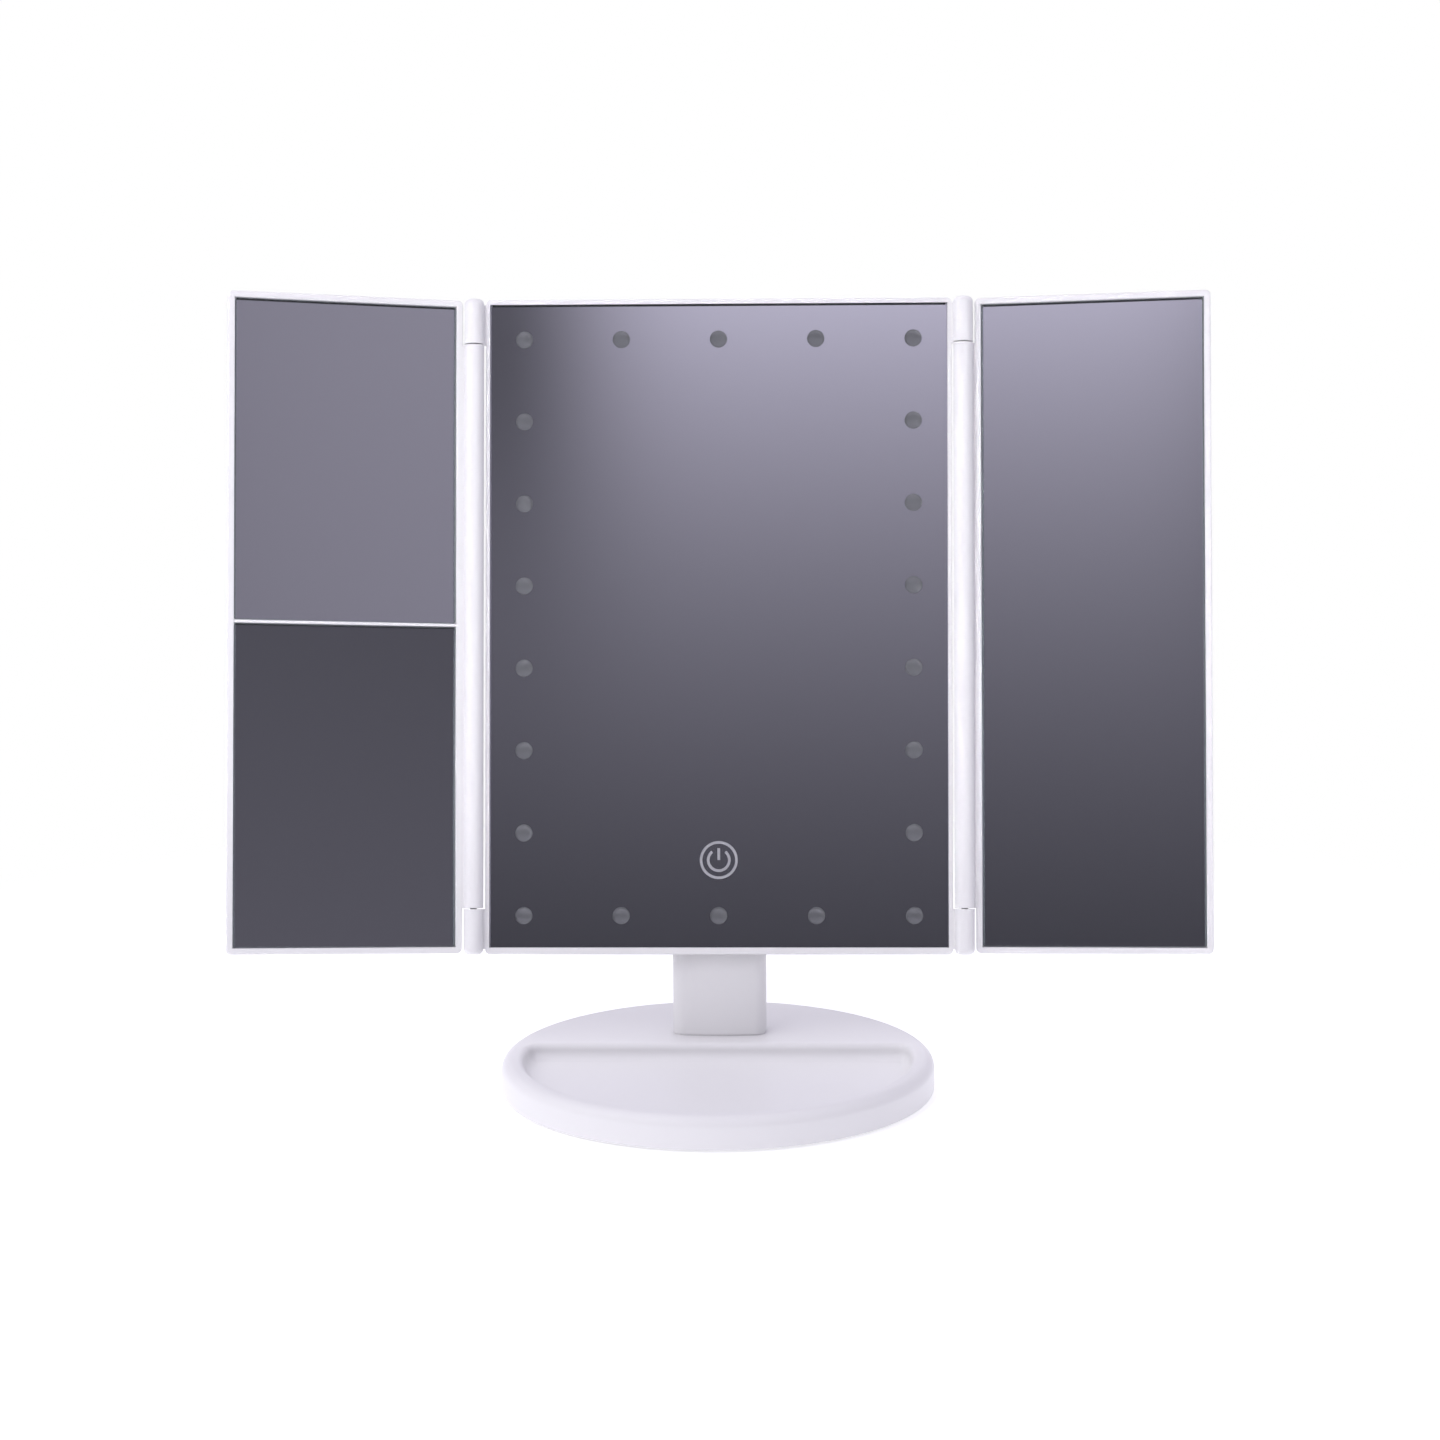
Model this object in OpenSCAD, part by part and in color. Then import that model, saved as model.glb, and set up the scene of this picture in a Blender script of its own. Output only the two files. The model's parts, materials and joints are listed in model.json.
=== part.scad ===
// Trifold vanity mirror on a round tray base.
// The origin is the middle of the face that the mirror stands on, +Z is up and the mirror faces -Y.
// Head parts are drawn in the head's own upright frame: its origin is the tilt axis,
// -Y is out of the mirror, +Z runs up the mirror.

/* [Base] */
// Outer diameter of the base
base_d = 155; // [140:1:175]
// Height of the base's top above the table
base_h = 12.5; // [12:0.5:18]
// Wall of the base shell
base_wall = 2; // [1.6:0.1:2.4]
// Radius of the base's upper outer edge
base_edge_r = 4; // [2:0.5:5]
// Width of the rim round the tray
tray_rim = 8; // [6.5:0.5:12]
// Depth of the tray
tray_depth = 6; // [4:0.25:6.5]
// Place of the tray's straight back edge behind the base's middle
tray_back = 13; // [8:0.5:18]
// Fillet between the tray's floor and its walls
tray_fillet = 3.5; // [1:0.25:4]
// Thickness of the closing plate under the base
bottom_t = 1.8; // [1.2:0.1:2.2]
// Thickness of the steel weight
weight_t = 4.5; // [3:0.25:5]
// Middle radius of the rubber foot ring
foot_r = 62; // [50:1:66]
// Width of the rubber foot ring
foot_w = 6; // [4:0.5:8]
// How far the foot ring stands out below the closing plate
foot_out = 1; // [0.6:0.1:1.5]

/* [Stem] */
// Width of the stem
stem_w = 34.3; // [30:0.5:40]
// Depth of the stem, front to back
stem_d = 16; // [15:0.5:20]
// Place of the stem's front face behind the base's middle
stem_front = 23.5; // [21:0.5:28]
// Radius of the stem's upright edges
stem_edge_r = 4.5; // [2:0.5:6]
// Wall of the stem
stem_wall = 2.4; // [2:0.1:3]
// Height of the shadow line between stem and base
seam_h = 0.5; // [0.3:0.1:0.8]
// Depth of the shadow line between stem and base
seam_in = 0.4; // [0.2:0.1:0.8]

/* [Tilt hinge] */
// Height of the tilt axis above the table
tilt_z = 49; // [42:0.5:60]
// Backward tilt of the head at rest, in degrees
tilt_rest = 12.5; // [5:0.5:20]
// Radius of the hinge barrel on the stem
tilt_barrel_r = 7.5; // [7:0.1:7.5]
// Radius of the steel tilt shaft
tilt_shaft_r = 2.5; // [2:0.1:3]
// Wall of the friction bushes
bush_wall = 0.9; // [0.6:0.1:1.2]
// Length of each friction bush
bush_l = 8; // [5:0.5:12]
// Thickness of the ears that hold the shaft
ear_t = 6; // [4:0.5:8]

/* [Head] */
// Width of the centre mirror that shows
glass_w = 167; // [150:1:180]
// Height of the centre mirror that shows
glass_h = 235; // [220:1:260]
// Frame border that shows at the sides
border_side = 1.55; // [1.3:0.05:2.5]
// Frame border that shows at the top
border_top = 1.8; // [1.3:0.1:3]
// Frame border that shows at the bottom
border_bottom = 2.5; // [2:0.1:4]
// How far the frame's lip covers the glass edge
lip_over = 0.4; // [0.2:0.05:0.6]
// Thickness of the frame's front lip
lip_t = 0.6; // [0.4:0.1:1]
// Distance from the frame's face back to the tilt axis
face_out = 11.5; // [11.5:0.1:13]
// Distance from the tilt axis back to the back cover's rear
rear_out = 8; // [7.8:0.1:9]
// Distance from the bottom edge of the head up to the tilt axis
axis_up = 7; // [7:0.1:9]
// Distance from the tilt axis forward to the joint of frame and back cover
split_out = 0.5; // [0.2:0.1:1.5]
// Wall of the back cover
cover_wall = 1.6; // [1.2:0.1:2]
// Radius of the head's corners
corner_r = 2; // [1:0.25:4]
// Radius of the front edges of frame and wings
front_edge_r = 0.5; // [0.3:0.1:0.8]
// Radius of the back cover's rear edges
rear_edge_r = 3; // [1:0.5:4]
// Radius of the wings' rear edges
wing_edge_r = 1.8; // [1:0.1:2]
// Thickness of the centre glass
glass_t = 1.8; // [1.5:0.1:2]
// Thickness of the mirror layer
silver_t = 0.15; // [0.1:0.05:0.2]
// Thickness of the light baffle
baffle_t = 2.2; // [1.8:0.1:2.4]
// Thickness of the circuit boards
board_t = 0.8; // [0.6:0.1:1]

/* [Lights] */
// Diameter of the light windows
window_d = 6.3; // [4:0.1:7]
// Distance of the outer window rows from the side of the mirror that shows
window_side = 12.4; // [10:0.2:14]
// Distance of the top window row from the top of the mirror that shows
window_top = 12.6; // [10:0.2:16]
// Distance of the bottom window row from the bottom of the mirror that shows
window_bottom = 11.6; // [11:0.2:14]
// Number of windows in each upright column
window_rows = 8; // [6:1:10]
// Number of windows in the top row and in the bottom row
window_cols = 5; // [4:1:6]
// Side of an LED
led_w = 2.8; // [2:0.1:3.2]
// Height of an LED
led_h = 0.7; // [0.5:0.1:1]

/* [Power sign] */
// Height of the power sign above the bottom of the mirror that shows
icon_up = 31.8; // [30:0.2:50]
// Outer diameter of the sign's ring
icon_d = 13.9; // [10:0.1:16]
// Width of the sign's lines
icon_line = 1; // [0.6:0.1:1.4]
// Outer diameter of the sign's broken inner ring
icon_inner_d = 8.7; // [6:0.1:10]

/* [Wing hinges] */
// Radius of the hinge barrels
knuckle_r = 3.6; // [3:0.1:4]
// Length of the end knuckles on the centre frame
knuckle_l = 16.5; // [12:0.5:25]
// Rounding of the end knuckles' outer ends
knuckle_round = 2; // [0.5:0.25:2.5]
// Gap between the frame's side and the long barrel
barrel_gap = 0.5; // [0.4:0.05:1]
// Gap between the ends of two knuckles
knuckle_gap = 0.4; // [0.2:0.05:0.6]
// Distance of the hinge axis in front of the frame's face
hinge_out = 1; // [0.6:0.1:1.5]
// Radius of the hinge pins
pin_r = 1.25; // [1:0.05:1.5]
// Length of each hinge pin
pin_l = 26; // [20:1:32]

/* [Wings] */
// Left wing's forward turn at rest, in degrees from flat
left_rest = 15; // [0:0.5:30]
// Right wing's forward turn at rest, in degrees from flat
right_rest = 8.5; // [0:0.5:30]
// Thickness of the wings
wing_t = 8; // [7:0.25:9]
// Frame border of the wings
wing_border = 2.3; // [2:0.1:3.5]
// Half of the gap between the closed wings
wing_meet = 0.4; // [0.3:0.05:1]
// How much shorter than the head the wings are at each end
wing_short = 0.4; // [0.2:0.1:1]
// How deep the wing mirrors lie below the wing's front
wing_sink = 0.5; // [0.3:0.1:0.8]
// Thickness of the wing mirrors
wing_glass_t = 1.5; // [1.2:0.1:1.8]
// Thickness of the wing's rear wall
wing_wall = 1.6; // [1.2:0.1:2]
// Width of the divider between the two left mirrors
divider_w = 1; // [0.8:0.1:2]
// Height of the divider's middle above the wing's lower end
divider_up = 119.5; // [80:0.5:150]
// Radius of curvature of the upper left mirror
upper_curve = 2500; // [2400:50:6000]
// Radius of curvature of the lower left mirror
lower_curve = 1800; // [1700:50:6000]

/* [Battery box] */
// Diameter of a battery
cell_d = 10.5; // [10.2:0.1:10.6]
// Length of a battery
cell_l = 44.5; // [43.5:0.5:45]
// Number of batteries
cell_count = 4; // [3:1:5]
// Wall of the battery box
box_wall = 1.2; // [1:0.1:1.6]
// Height of the battery box's lower wall above the tilt axis
box_up = 11; // [10.5:0.5:16]
// Thickness of the battery door
door_t = 1.4; // [1:0.1:1.6]

/* [Switch and socket] */
// Travel of the slide switch
switch_travel = 3; // [2:0.5:4]
// Height of the slide switch above the tilt axis
switch_up = 74; // [70:1:90]
// Width of the charging socket
usb_w = 7.5; // [7:0.1:8]
// Height of the charging socket
usb_h = 2.6; // [2.4:0.1:3]

/* [Clearances] */
// Radial clearance of a turning pin or shaft
run_gap = 0.05; // [0.02:0.01:0.09]
// Gap round a piece that drops into a seat
seat_gap = 0.15; // [0.1:0.05:0.25]
// Gap between the stem and the head's notch, and round the hinge barrel
notch_gap = 0.8; // [0.7:0.05:0.9]

/* [Hidden] */
$fn = 64;
eps = 0.01;
white = [0.93, 0.92, 0.94];

// Base heights
bottom_z = foot_out;
bottom_top = bottom_z + bottom_t;
groove = bottom_t / 2;
base_r = base_d / 2;
tray_r = base_r - tray_rim;
tray_floor = base_h - tray_depth;
weight_z = bottom_top;
base_boss_r = 3.5;
base_screw_r = 1.3;
base_screw_l = 5;
base_screw_head_r = 2.6;
base_screw_head = 0.9;
base_screw_ring = base_r - base_wall - base_boss_r - 1;
base_screw_angles = [55, 125, 235, 305];

// Stem
stem_y = stem_front + stem_d / 2;
tilt_y = stem_front + stem_d / 2 - 0.5;
shoulder_z = tilt_z - tilt_barrel_r - 3;
bulge_r = 100;
stem_screw_x = 9;
stem_screw_r = 1.5;
stem_boss_r = 4;
stem_screw_l = 12;
stem_cover_t = 1.6;
bush_r = tilt_shaft_r + bush_wall;

// Head, in its own frame
face_y = -face_out;
split_y = -split_out;
rear_y = rear_out;
head_z0 = -axis_up;
vis_z0 = head_z0 + border_bottom;
vis_z1 = vis_z0 + glass_h;
head_z1 = vis_z1 + border_top;
head_w = glass_w + 2 * border_side;
frame_wall = border_side - lip_over - seat_gap;
pane_w = glass_w + 2 * lip_over;
pane_z0 = vis_z0 - lip_over;
pane_z1 = vis_z1 + lip_over;
glass_y = face_y + lip_t;
silver_y = glass_y + glass_t;
baffle_y = silver_y + silver_t;
board_y = baffle_y + baffle_t;
board_back = board_y + board_t;
notch_w = stem_w + 2 * notch_gap;
notch_r = tilt_barrel_r + notch_gap;
notch_top = stem_d / 2 + 0.5 + notch_gap;
ear_r = min(axis_up, rear_out) - cover_wall - 0.4;
shaft_l = notch_w + 2 * ear_t;

// Lights
window_x = glass_w / 2 - window_side;
window_z0 = vis_z0 + window_bottom;
window_z1 = vis_z1 - window_top;
window_dx = 2 * window_x / (window_cols - 1);
window_dz = (window_z1 - window_z0) / (window_rows - 1);
windows = concat(
    [for (s = [-1, 1], i = [0 : window_rows - 1]) [s * window_x, window_z0 + i * window_dz]],
    [for (z = [window_z0, window_z1], i = [1 : window_cols - 2]) [-window_x + i * window_dx, z]]);
strip_w = window_d + 2;
icon_z = vis_z0 + icon_up;
icon_open = 38;
disc_t = board_t;
disc_r = icon_d / 2 + 1;

// Cover bosses and screws
boss_r = 3;
boss_in = head_w / 2 - frame_wall - boss_r + 0.3;
boss_zs = [head_z0 + 24, (head_z0 + head_z1) / 2, head_z1 - 12];
screw_r = 1.2;
screw_l = 9;
screw_head_r = 2.3;
screw_head = 1.4;
well_deep = 3;

// Wing hinges and wings
hinge_x = head_w / 2 + barrel_gap + knuckle_r;
hinge_y = face_y - hinge_out;
wing_z0 = head_z0 + wing_short;
wing_z1 = head_z1 - wing_short;
wing_in = knuckle_r + 0.4;
wing_w = hinge_x - wing_meet - wing_in;
barrel_z0 = head_z0 + knuckle_l + knuckle_gap;
barrel_z1 = head_z1 - knuckle_l - knuckle_gap;
pin_end = 2;
pin_in = pin_l + pin_end - knuckle_l - knuckle_gap;
tile_w = wing_w - 2 * wing_border - 2 * seat_gap;
tile_x = wing_in + wing_border + seat_gap;
tile_z0 = wing_z0 + wing_border + seat_gap;
tile_z1 = wing_z1 - wing_border - seat_gap;
divider_z0 = wing_z0 + divider_up - divider_w / 2;
divider_z1 = divider_z0 + divider_w;
ledge = 2;
tile_y = hinge_out + wing_sink;
pad_w = 4;

// Battery box
cell_pitch = cell_d + 0.3;
box_in_w = cell_count * cell_pitch + 0.4;
box_z0 = box_up + box_wall;
box_in_h = cell_l + 4;
box_z1 = box_z0 + box_in_h;
box_front = board_back + 0.1;
cell_y = box_front + 0.8 + cell_d / 2;
door_w = box_in_w + 2;
door_z0 = box_z0 + 1;
door_h = box_in_h - 2;
door_rebate = 1.5;
groove_r = 4;
groove_deep = 0.7;
groove_l = 16;
groove_down = 6;
usb_x = 40;
usb_l = 5.5;
ctrl_x0 = box_in_w / 2 + box_wall + 2;
ctrl_w = 28;
ctrl_h = 40;
switch_x = 0;
switch_w = 10;
switch_h = 5;
knob_w = 4;
knob_h = 3;

// A rectangle with round corners, centred
module round_rect(w, h, r) {
    square([w - 2 * r, h], center = true);
    square([w, h - 2 * r], center = true);
    for (sx = [-1, 1], sy = [-1, 1])
        translate([sx * (w / 2 - r), sy * (h / 2 - r)])
            circle(r = r, $fn = 32);
}

// A slab with round corners that faces -Y: from y0 to y1, x0 to x1 and z0 to z1
module slab(x0, x1, y0, y1, z0, z1, r) {
    translate([(x0 + x1) / 2, y1, (z0 + z1) / 2])
        rotate([90, 0, 0])
            linear_extrude(y1 - y0)
                round_rect(x1 - x0, z1 - z0, r);
}

// Half-round section: u runs across from u0 to u1, v from the front v0 to the rear v1
module round_section(u0, u1, v0, v1, front_r, rear_r) {
    translate([u0, v0 + front_r])
        square([u1 - u0, v1 - rear_r - v0 - front_r]);
    translate([u0 + front_r, v0])
        square([u1 - u0 - 2 * front_r, v1 - v0 - rear_r]);
    translate([u0 + rear_r, v0 + front_r])
        square([u1 - u0 - 2 * rear_r, v1 - v0 - front_r]);
    for (s = [0, 1]) {
        if (front_r > 0)
            translate([s == 0 ? u0 + front_r : u1 - front_r, v0 + front_r])
                circle(r = front_r, $fn = 32);
        if (rear_r > 0)
            translate([s == 0 ? u0 + rear_r : u1 - rear_r, v1 - rear_r])
                circle(r = rear_r, $fn = 32);
    }
}

// A slab whose front and rear edges are round too
module soft_slab(x0, x1, y0, y1, z0, z1, r, front_r, rear_r) {
    intersection() {
        slab(x0, x1, y0, y1, z0, z1, r);
        translate([0, 0, z0])
            linear_extrude(z1 - z0)
                round_section(x0, x1, y0, y1, front_r, rear_r);
        translate([x1, 0, 0])
            rotate([0, -90, 0])
                linear_extrude(x1 - x0)
                    round_section(z0, z1, y0, y1, front_r, rear_r);
    }
}

// A block given by its two corners
module block(x0, x1, y0, y1, z0, z1) {
    translate([x0, y0, z0])
        cube([x1 - x0, y1 - y0, z1 - z0]);
}

// A round rod along Y from y0 to y1
module rod_y(r, y0, y1) {
    translate([0, y1, 0])
        rotate([90, 0, 0])
            cylinder(r = r, h = y1 - y0);
}

// A round rod along X from x0 to x1
module rod_x(r, x0, x1) {
    translate([x0, 0, 0])
        rotate([0, 90, 0])
            cylinder(r = r, h = x1 - x0);
}

// Puts head parts in their place at rest
module head() {
    translate([0, tilt_y, tilt_z])
        rotate([-tilt_rest, 0, 0])
            children();
}

// Puts a wing drawn flat, hinge axis on Z, in its place at rest: side is -1 left, 1 right
module wing(side) {
    turn = side < 0 ? left_rest : -right_rest;
    head()
        translate([side * hinge_x, hinge_y, 0])
            rotate([0, 0, turn])
                mirror([side < 0 ? 1 : 0, 0, 0])
                    children();
}

// A screw along +Z: its head sits below z = 0
module screw(r, l, head_r, head_h) {
    cylinder(r = r, h = l);
    translate([0, 0, -head_h])
        difference() {
            cylinder(r = head_r, h = head_h);
            for (a = [0, 90])
                rotate([0, 0, a])
                    translate([0, 0, head_h / 4 - eps])
                        cube([head_r, head_r / 4, head_h / 2], center = true);
        }
}

// Base

// The outside of the base turned about Z, with its round upper edge
module base_body() {
    rotate_extrude($fn = 128) {
        square([base_r, base_h - base_edge_r]);
        square([base_r - base_edge_r, base_h]);
        translate([base_r - base_edge_r, base_h - base_edge_r])
            intersection() {
                circle(r = base_edge_r, $fn = 48);
                square(base_edge_r);
            }
    }
}

// The space of the tray, grown by a wall g: a round bowl cut off by the straight back wall
module tray_space(g) {
    f = tray_fillet + g;
    z0 = tray_floor - g;
    intersection() {
        rotate_extrude($fn = 128) {
            translate([0, z0])
                square([tray_r + g - f, tray_depth + 2 * g]);
            translate([0, z0 + f])
                square([tray_r + g, tray_depth + 2 * g]);
            translate([tray_r + g - f, z0 + f])
                circle(r = f, $fn = 48);
        }
        translate([-base_r, 0, 0])
            rotate([90, 0, 90])
                linear_extrude(base_d) {
                    translate([-base_r, z0])
                        square([base_r + tray_back + g - f, tray_depth + 2 * g + 1]);
                    translate([-base_r, z0 + f])
                        square([base_r + tray_back + g, tray_depth + 2 * g + 1]);
                    translate([tray_back + g - f, z0 + f])
                        circle(r = f, $fn = 48);
                }
    }
}

module base_shell() {
    color(white)
        difference() {
            union() {
                difference() {
                    translate([0, 0, bottom_z])
                        intersection() {
                            translate([0, 0, -bottom_z])
                                base_body();
                            cylinder(r = base_r, h = base_h - bottom_z);
                        }
                    translate([0, 0, bottom_z - eps])
                        cylinder(r = base_r - base_wall, h = base_h - base_wall - bottom_z + eps, $fn = 128);
                }
                intersection() {
                    tray_space(base_wall / 2);
                    cylinder(r = base_r - base_wall / 2, h = base_h - base_wall / 2);
                }
                for (a = base_screw_angles)
                    rotate([0, 0, a])
                        translate([base_screw_ring, 0, bottom_top])
                            cylinder(r = base_boss_r, h = base_h - base_wall - bottom_top + eps);
            }
            tray_space(0);
            for (a = base_screw_angles)
                rotate([0, 0, a])
                    translate([base_screw_ring, 0, bottom_top - eps])
                        cylinder(r = base_screw_r + run_gap, h = base_screw_l);
            for (s = [-1, 1])
                translate([s * stem_screw_x, stem_y, base_h - base_wall - 1])
                    cylinder(r = stem_screw_r + run_gap, h = base_wall + 2);
        }
}

module base_bottom() {
    color([0.88, 0.87, 0.89])
        difference() {
            translate([0, 0, bottom_z])
                cylinder(r = base_r - base_wall - seat_gap, h = bottom_t, $fn = 128);
            translate([0, 0, bottom_z - eps])
                difference() {
                    cylinder(r = foot_r + foot_w / 2 + seat_gap, h = groove + eps, $fn = 128);
                    translate([0, 0, -1])
                        cylinder(r = foot_r - foot_w / 2 - seat_gap, h = groove + 2, $fn = 128);
                }
            for (a = base_screw_angles)
                rotate([0, 0, a])
                    translate([base_screw_ring, 0, bottom_z - 1]) {
                        cylinder(r = base_screw_r + run_gap, h = bottom_t + 2);
                        cylinder(r = base_screw_head_r + seat_gap, h = 1 + base_screw_head);
                    }
        }
}

module base_weight() {
    color("gray")
        difference() {
            intersection() {
                translate([0, 0, weight_z])
                    cylinder(r = base_screw_ring - base_boss_r - 1, h = weight_t, $fn = 128);
                block(-base_r, base_r, tray_back + base_wall + 1, base_r, 0, base_h);
            }
            for (s = [-1, 1])
                translate([s * stem_screw_x, stem_y, 0])
                    cylinder(r = stem_boss_r, h = base_h);
        }
}

module foot_ring() {
    color([0.25, 0.25, 0.26])
        difference() {
            cylinder(r = foot_r + foot_w / 2, h = foot_out + groove, $fn = 128);
            translate([0, 0, -1])
                cylinder(r = foot_r - foot_w / 2, h = foot_out + groove + 2, $fn = 128);
        }
}

module base_screws() {
    color("silver")
        for (a = base_screw_angles)
            rotate([0, 0, a])
                translate([base_screw_ring, 0, bottom_z + base_screw_head])
                    screw(base_screw_r, base_screw_l - 1, base_screw_head_r, base_screw_head);
}

// Stem

// Cross-section of the stem seen from above: round edges and a front that bulges a little
module stem_outline(in) {
    intersection() {
        round_rect(stem_w - 2 * in, stem_d - 2 * in, stem_edge_r - in);
        translate([0, bulge_r - stem_d / 2 + in])
            circle(r = bulge_r, $fn = 256);
    }
}

// The hinge barrel on the stem's top, as wide as the stem
module stem_barrel() {
    translate([0, tilt_y, tilt_z])
        rod_x(tilt_barrel_r, -stem_w / 2, stem_w / 2);
}

module stem_shell() {
    cover_z0 = base_h + stem_wall + 2;
    cover_z1 = shoulder_z - 3;
    color(white)
        difference() {
            union() {
                translate([0, stem_y, base_h + seam_h])
                    linear_extrude(tilt_z - base_h - seam_h)
                        stem_outline(0);
                translate([0, stem_y, base_h])
                    linear_extrude(seam_h + eps)
                        stem_outline(seam_in);
                stem_barrel();
            }
            // hollow, open to the rear
            block(-stem_w / 2 + stem_wall, stem_w / 2 - stem_wall, stem_y - stem_d / 2 + stem_wall,
                stem_y + stem_d / 2 - stem_cover_t, base_h + stem_wall, shoulder_z - stem_wall);
            block(-stem_w / 2 + stem_edge_r, stem_w / 2 - stem_edge_r, stem_y, stem_y + stem_d,
                cover_z0, cover_z1);
            for (s = [-1, 1])
                translate([s * stem_screw_x, stem_y, base_h - 1])
                    cylinder(r = stem_screw_r + run_gap, h = stem_screw_l);
            // seats of the bushes, and a free bore between them
            translate([0, tilt_y, tilt_z]) {
                for (s = [-1, 1])
                    translate([s * (stem_w / 2 - bush_l / 2), 0, 0])
                        rod_x(bush_r + run_gap, -bush_l / 2 - eps, bush_l / 2 + eps);
                rod_x(tilt_shaft_r + 0.5, -stem_w / 2, stem_w / 2);
            }
        }
    // bosses that the base screws hold
    color(white)
        for (s = [-1, 1])
            translate([s * stem_screw_x, stem_y, base_h + stem_wall - eps])
                difference() {
                    cylinder(r = stem_boss_r, h = stem_screw_l - stem_wall);
                    translate([0, 0, -1])
                        cylinder(r = stem_screw_r + run_gap, h = stem_screw_l);
                }
}

module stem_rear_cover() {
    cover_z0 = base_h + stem_wall + 2 + seat_gap;
    cover_z1 = shoulder_z - 3 - seat_gap;
    x = stem_w / 2 - stem_edge_r - seat_gap;
    color(white)
        block(-x, x, stem_y + stem_d / 2 - stem_cover_t, stem_y + stem_d / 2, cover_z0, cover_z1);
}

module stem_screws() {
    color("silver")
        for (s = [-1, 1])
            translate([s * stem_screw_x, stem_y, base_h - base_wall])
                screw(stem_screw_r, stem_screw_l, 2.8, 1.6);
}

module tilt_bushes() {
    color("goldenrod")
        translate([0, tilt_y, tilt_z])
            for (s = [-1, 1])
                translate([s * (stem_w / 2 - bush_l / 2), 0, 0])
                    difference() {
                        rod_x(bush_r, -bush_l / 2, bush_l / 2);
                        rod_x(tilt_shaft_r + run_gap, -bush_l, bush_l);
                    }
}

// Head

module tilt_shaft() {
    color("silver")
        head()
            rod_x(tilt_shaft_r, -shaft_l / 2, shaft_l / 2);
}

// A rod along Z whose upper end is round by knuckle_round
module round_end_rod(r, l) {
    rotate_extrude() {
        square([r, l - knuckle_round]);
        square([r - knuckle_round, l]);
        translate([r - knuckle_round, l - knuckle_round])
            intersection() {
                circle(r = knuckle_round, $fn = 32);
                square(knuckle_round);
            }
    }
}

// One end knuckle with the web that ties it to the frame's side: at_z is its lower end
module end_knuckle(side, at_z) {
    upper = at_z > 0;
    translate([side * hinge_x, hinge_y, upper ? at_z : at_z + knuckle_l])
        mirror([0, 0, upper ? 0 : 1])
            round_end_rod(knuckle_r, knuckle_l);
    x0 = side < 0 ? -hinge_x : head_w / 2 - frame_wall;
    x1 = side < 0 ? -head_w / 2 + frame_wall : hinge_x;
    block(x0, x1, face_y, hinge_y + knuckle_r, upper ? at_z : at_z + knuckle_round,
        at_z + knuckle_l - (upper ? knuckle_round : 0));
}

// Room for the stem and its barrel behind the front lip
module stem_notch() {
    block(-notch_w / 2, notch_w / 2, -notch_r, split_y + 1, head_z0 - 1, 0);
    rod_x(notch_r, -notch_w / 2, notch_w / 2);
}

module centre_frame() {
    color(white)
        head()
            difference() {
                union() {
                    difference() {
                        soft_slab(-head_w / 2, head_w / 2, face_y, split_y, head_z0, head_z1, corner_r,
                            front_edge_r, 0);
                        // opening of the lip, then the room for the glass and what is behind it
                        block(-glass_w / 2, glass_w / 2, face_y - 1, face_y + lip_t + 1, vis_z0, vis_z1);
                        block(-pane_w / 2 - seat_gap, pane_w / 2 + seat_gap, glass_y, split_y + 1,
                            pane_z0 - seat_gap, pane_z1 + seat_gap);
                    }
                    for (s = [-1, 1], z = boss_zs) {
                        translate([s * boss_in, 0, z])
                            rod_y(boss_r, board_back, split_y);
                        block(s < 0 ? -head_w / 2 + eps : boss_in, s < 0 ? -boss_in : head_w / 2 - eps,
                            board_back, split_y, z - boss_r / 2, z + boss_r / 2);
                    }
                    for (s = [-1, 1], z = [head_z0, head_z1 - knuckle_l])
                        end_knuckle(s, z);
                    // ears of the tilt shaft
                    for (s = [-1, 1])
                        translate([s * (notch_w / 2 + ear_t / 2), 0, 0]) {
                            rod_x(ear_r, -ear_t / 2, ear_t / 2);
                            block(-ear_t / 2, ear_t / 2, board_back, split_y, head_z0 + eps, ear_r);
                        }
                }
                stem_notch();
                // bores
                for (s = [-1, 1]) {
                    translate([s * (notch_w / 2 + ear_t / 2), 0, 0])
                        rod_x(tilt_shaft_r + run_gap, -ear_t, ear_t);
                    for (z = [head_z0 + pin_end, head_z1 - knuckle_l - 1])
                        translate([s * hinge_x, hinge_y, z])
                            cylinder(r = pin_r + run_gap, h = knuckle_l + 1 - pin_end);
                    for (z = boss_zs)
                        translate([s * boss_in, 0, z])
                            rod_y(screw_r + run_gap, board_back + 1, split_y + 1);
                }
            }
}

module centre_glass() {
    color([0.7, 0.8, 0.8, 0.4])
        head()
            block(-pane_w / 2, pane_w / 2, glass_y, silver_y, pane_z0, pane_z1);
}

// The power sign in the X-Z plane: a ring, a broken ring and a bar
module icon_sign() {
    difference() {
        circle(r = icon_d / 2);
        circle(r = icon_d / 2 - icon_line);
    }
    difference() {
        circle(r = icon_inner_d / 2);
        circle(r = icon_inner_d / 2 - icon_line);
        polygon([[0, 0], [-icon_d * tan(icon_open), icon_d], [icon_d * tan(icon_open), icon_d]]);
    }
    translate([-icon_line / 2, 0])
        square([icon_line, icon_inner_d / 2]);
}

module centre_silvering() {
    color([0.5, 0.5, 0.54])
        head()
            difference() {
                block(-pane_w / 2, pane_w / 2, silver_y, baffle_y, pane_z0, pane_z1);
                for (p = windows)
                    translate([p[0], 0, p[1]])
                        rod_y(window_d / 2, silver_y - 1, baffle_y + 1);
                translate([0, baffle_y + 1, icon_z])
                    rotate([90, 0, 0])
                        linear_extrude(silver_t + 2)
                            icon_sign();
            }
}

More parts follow.
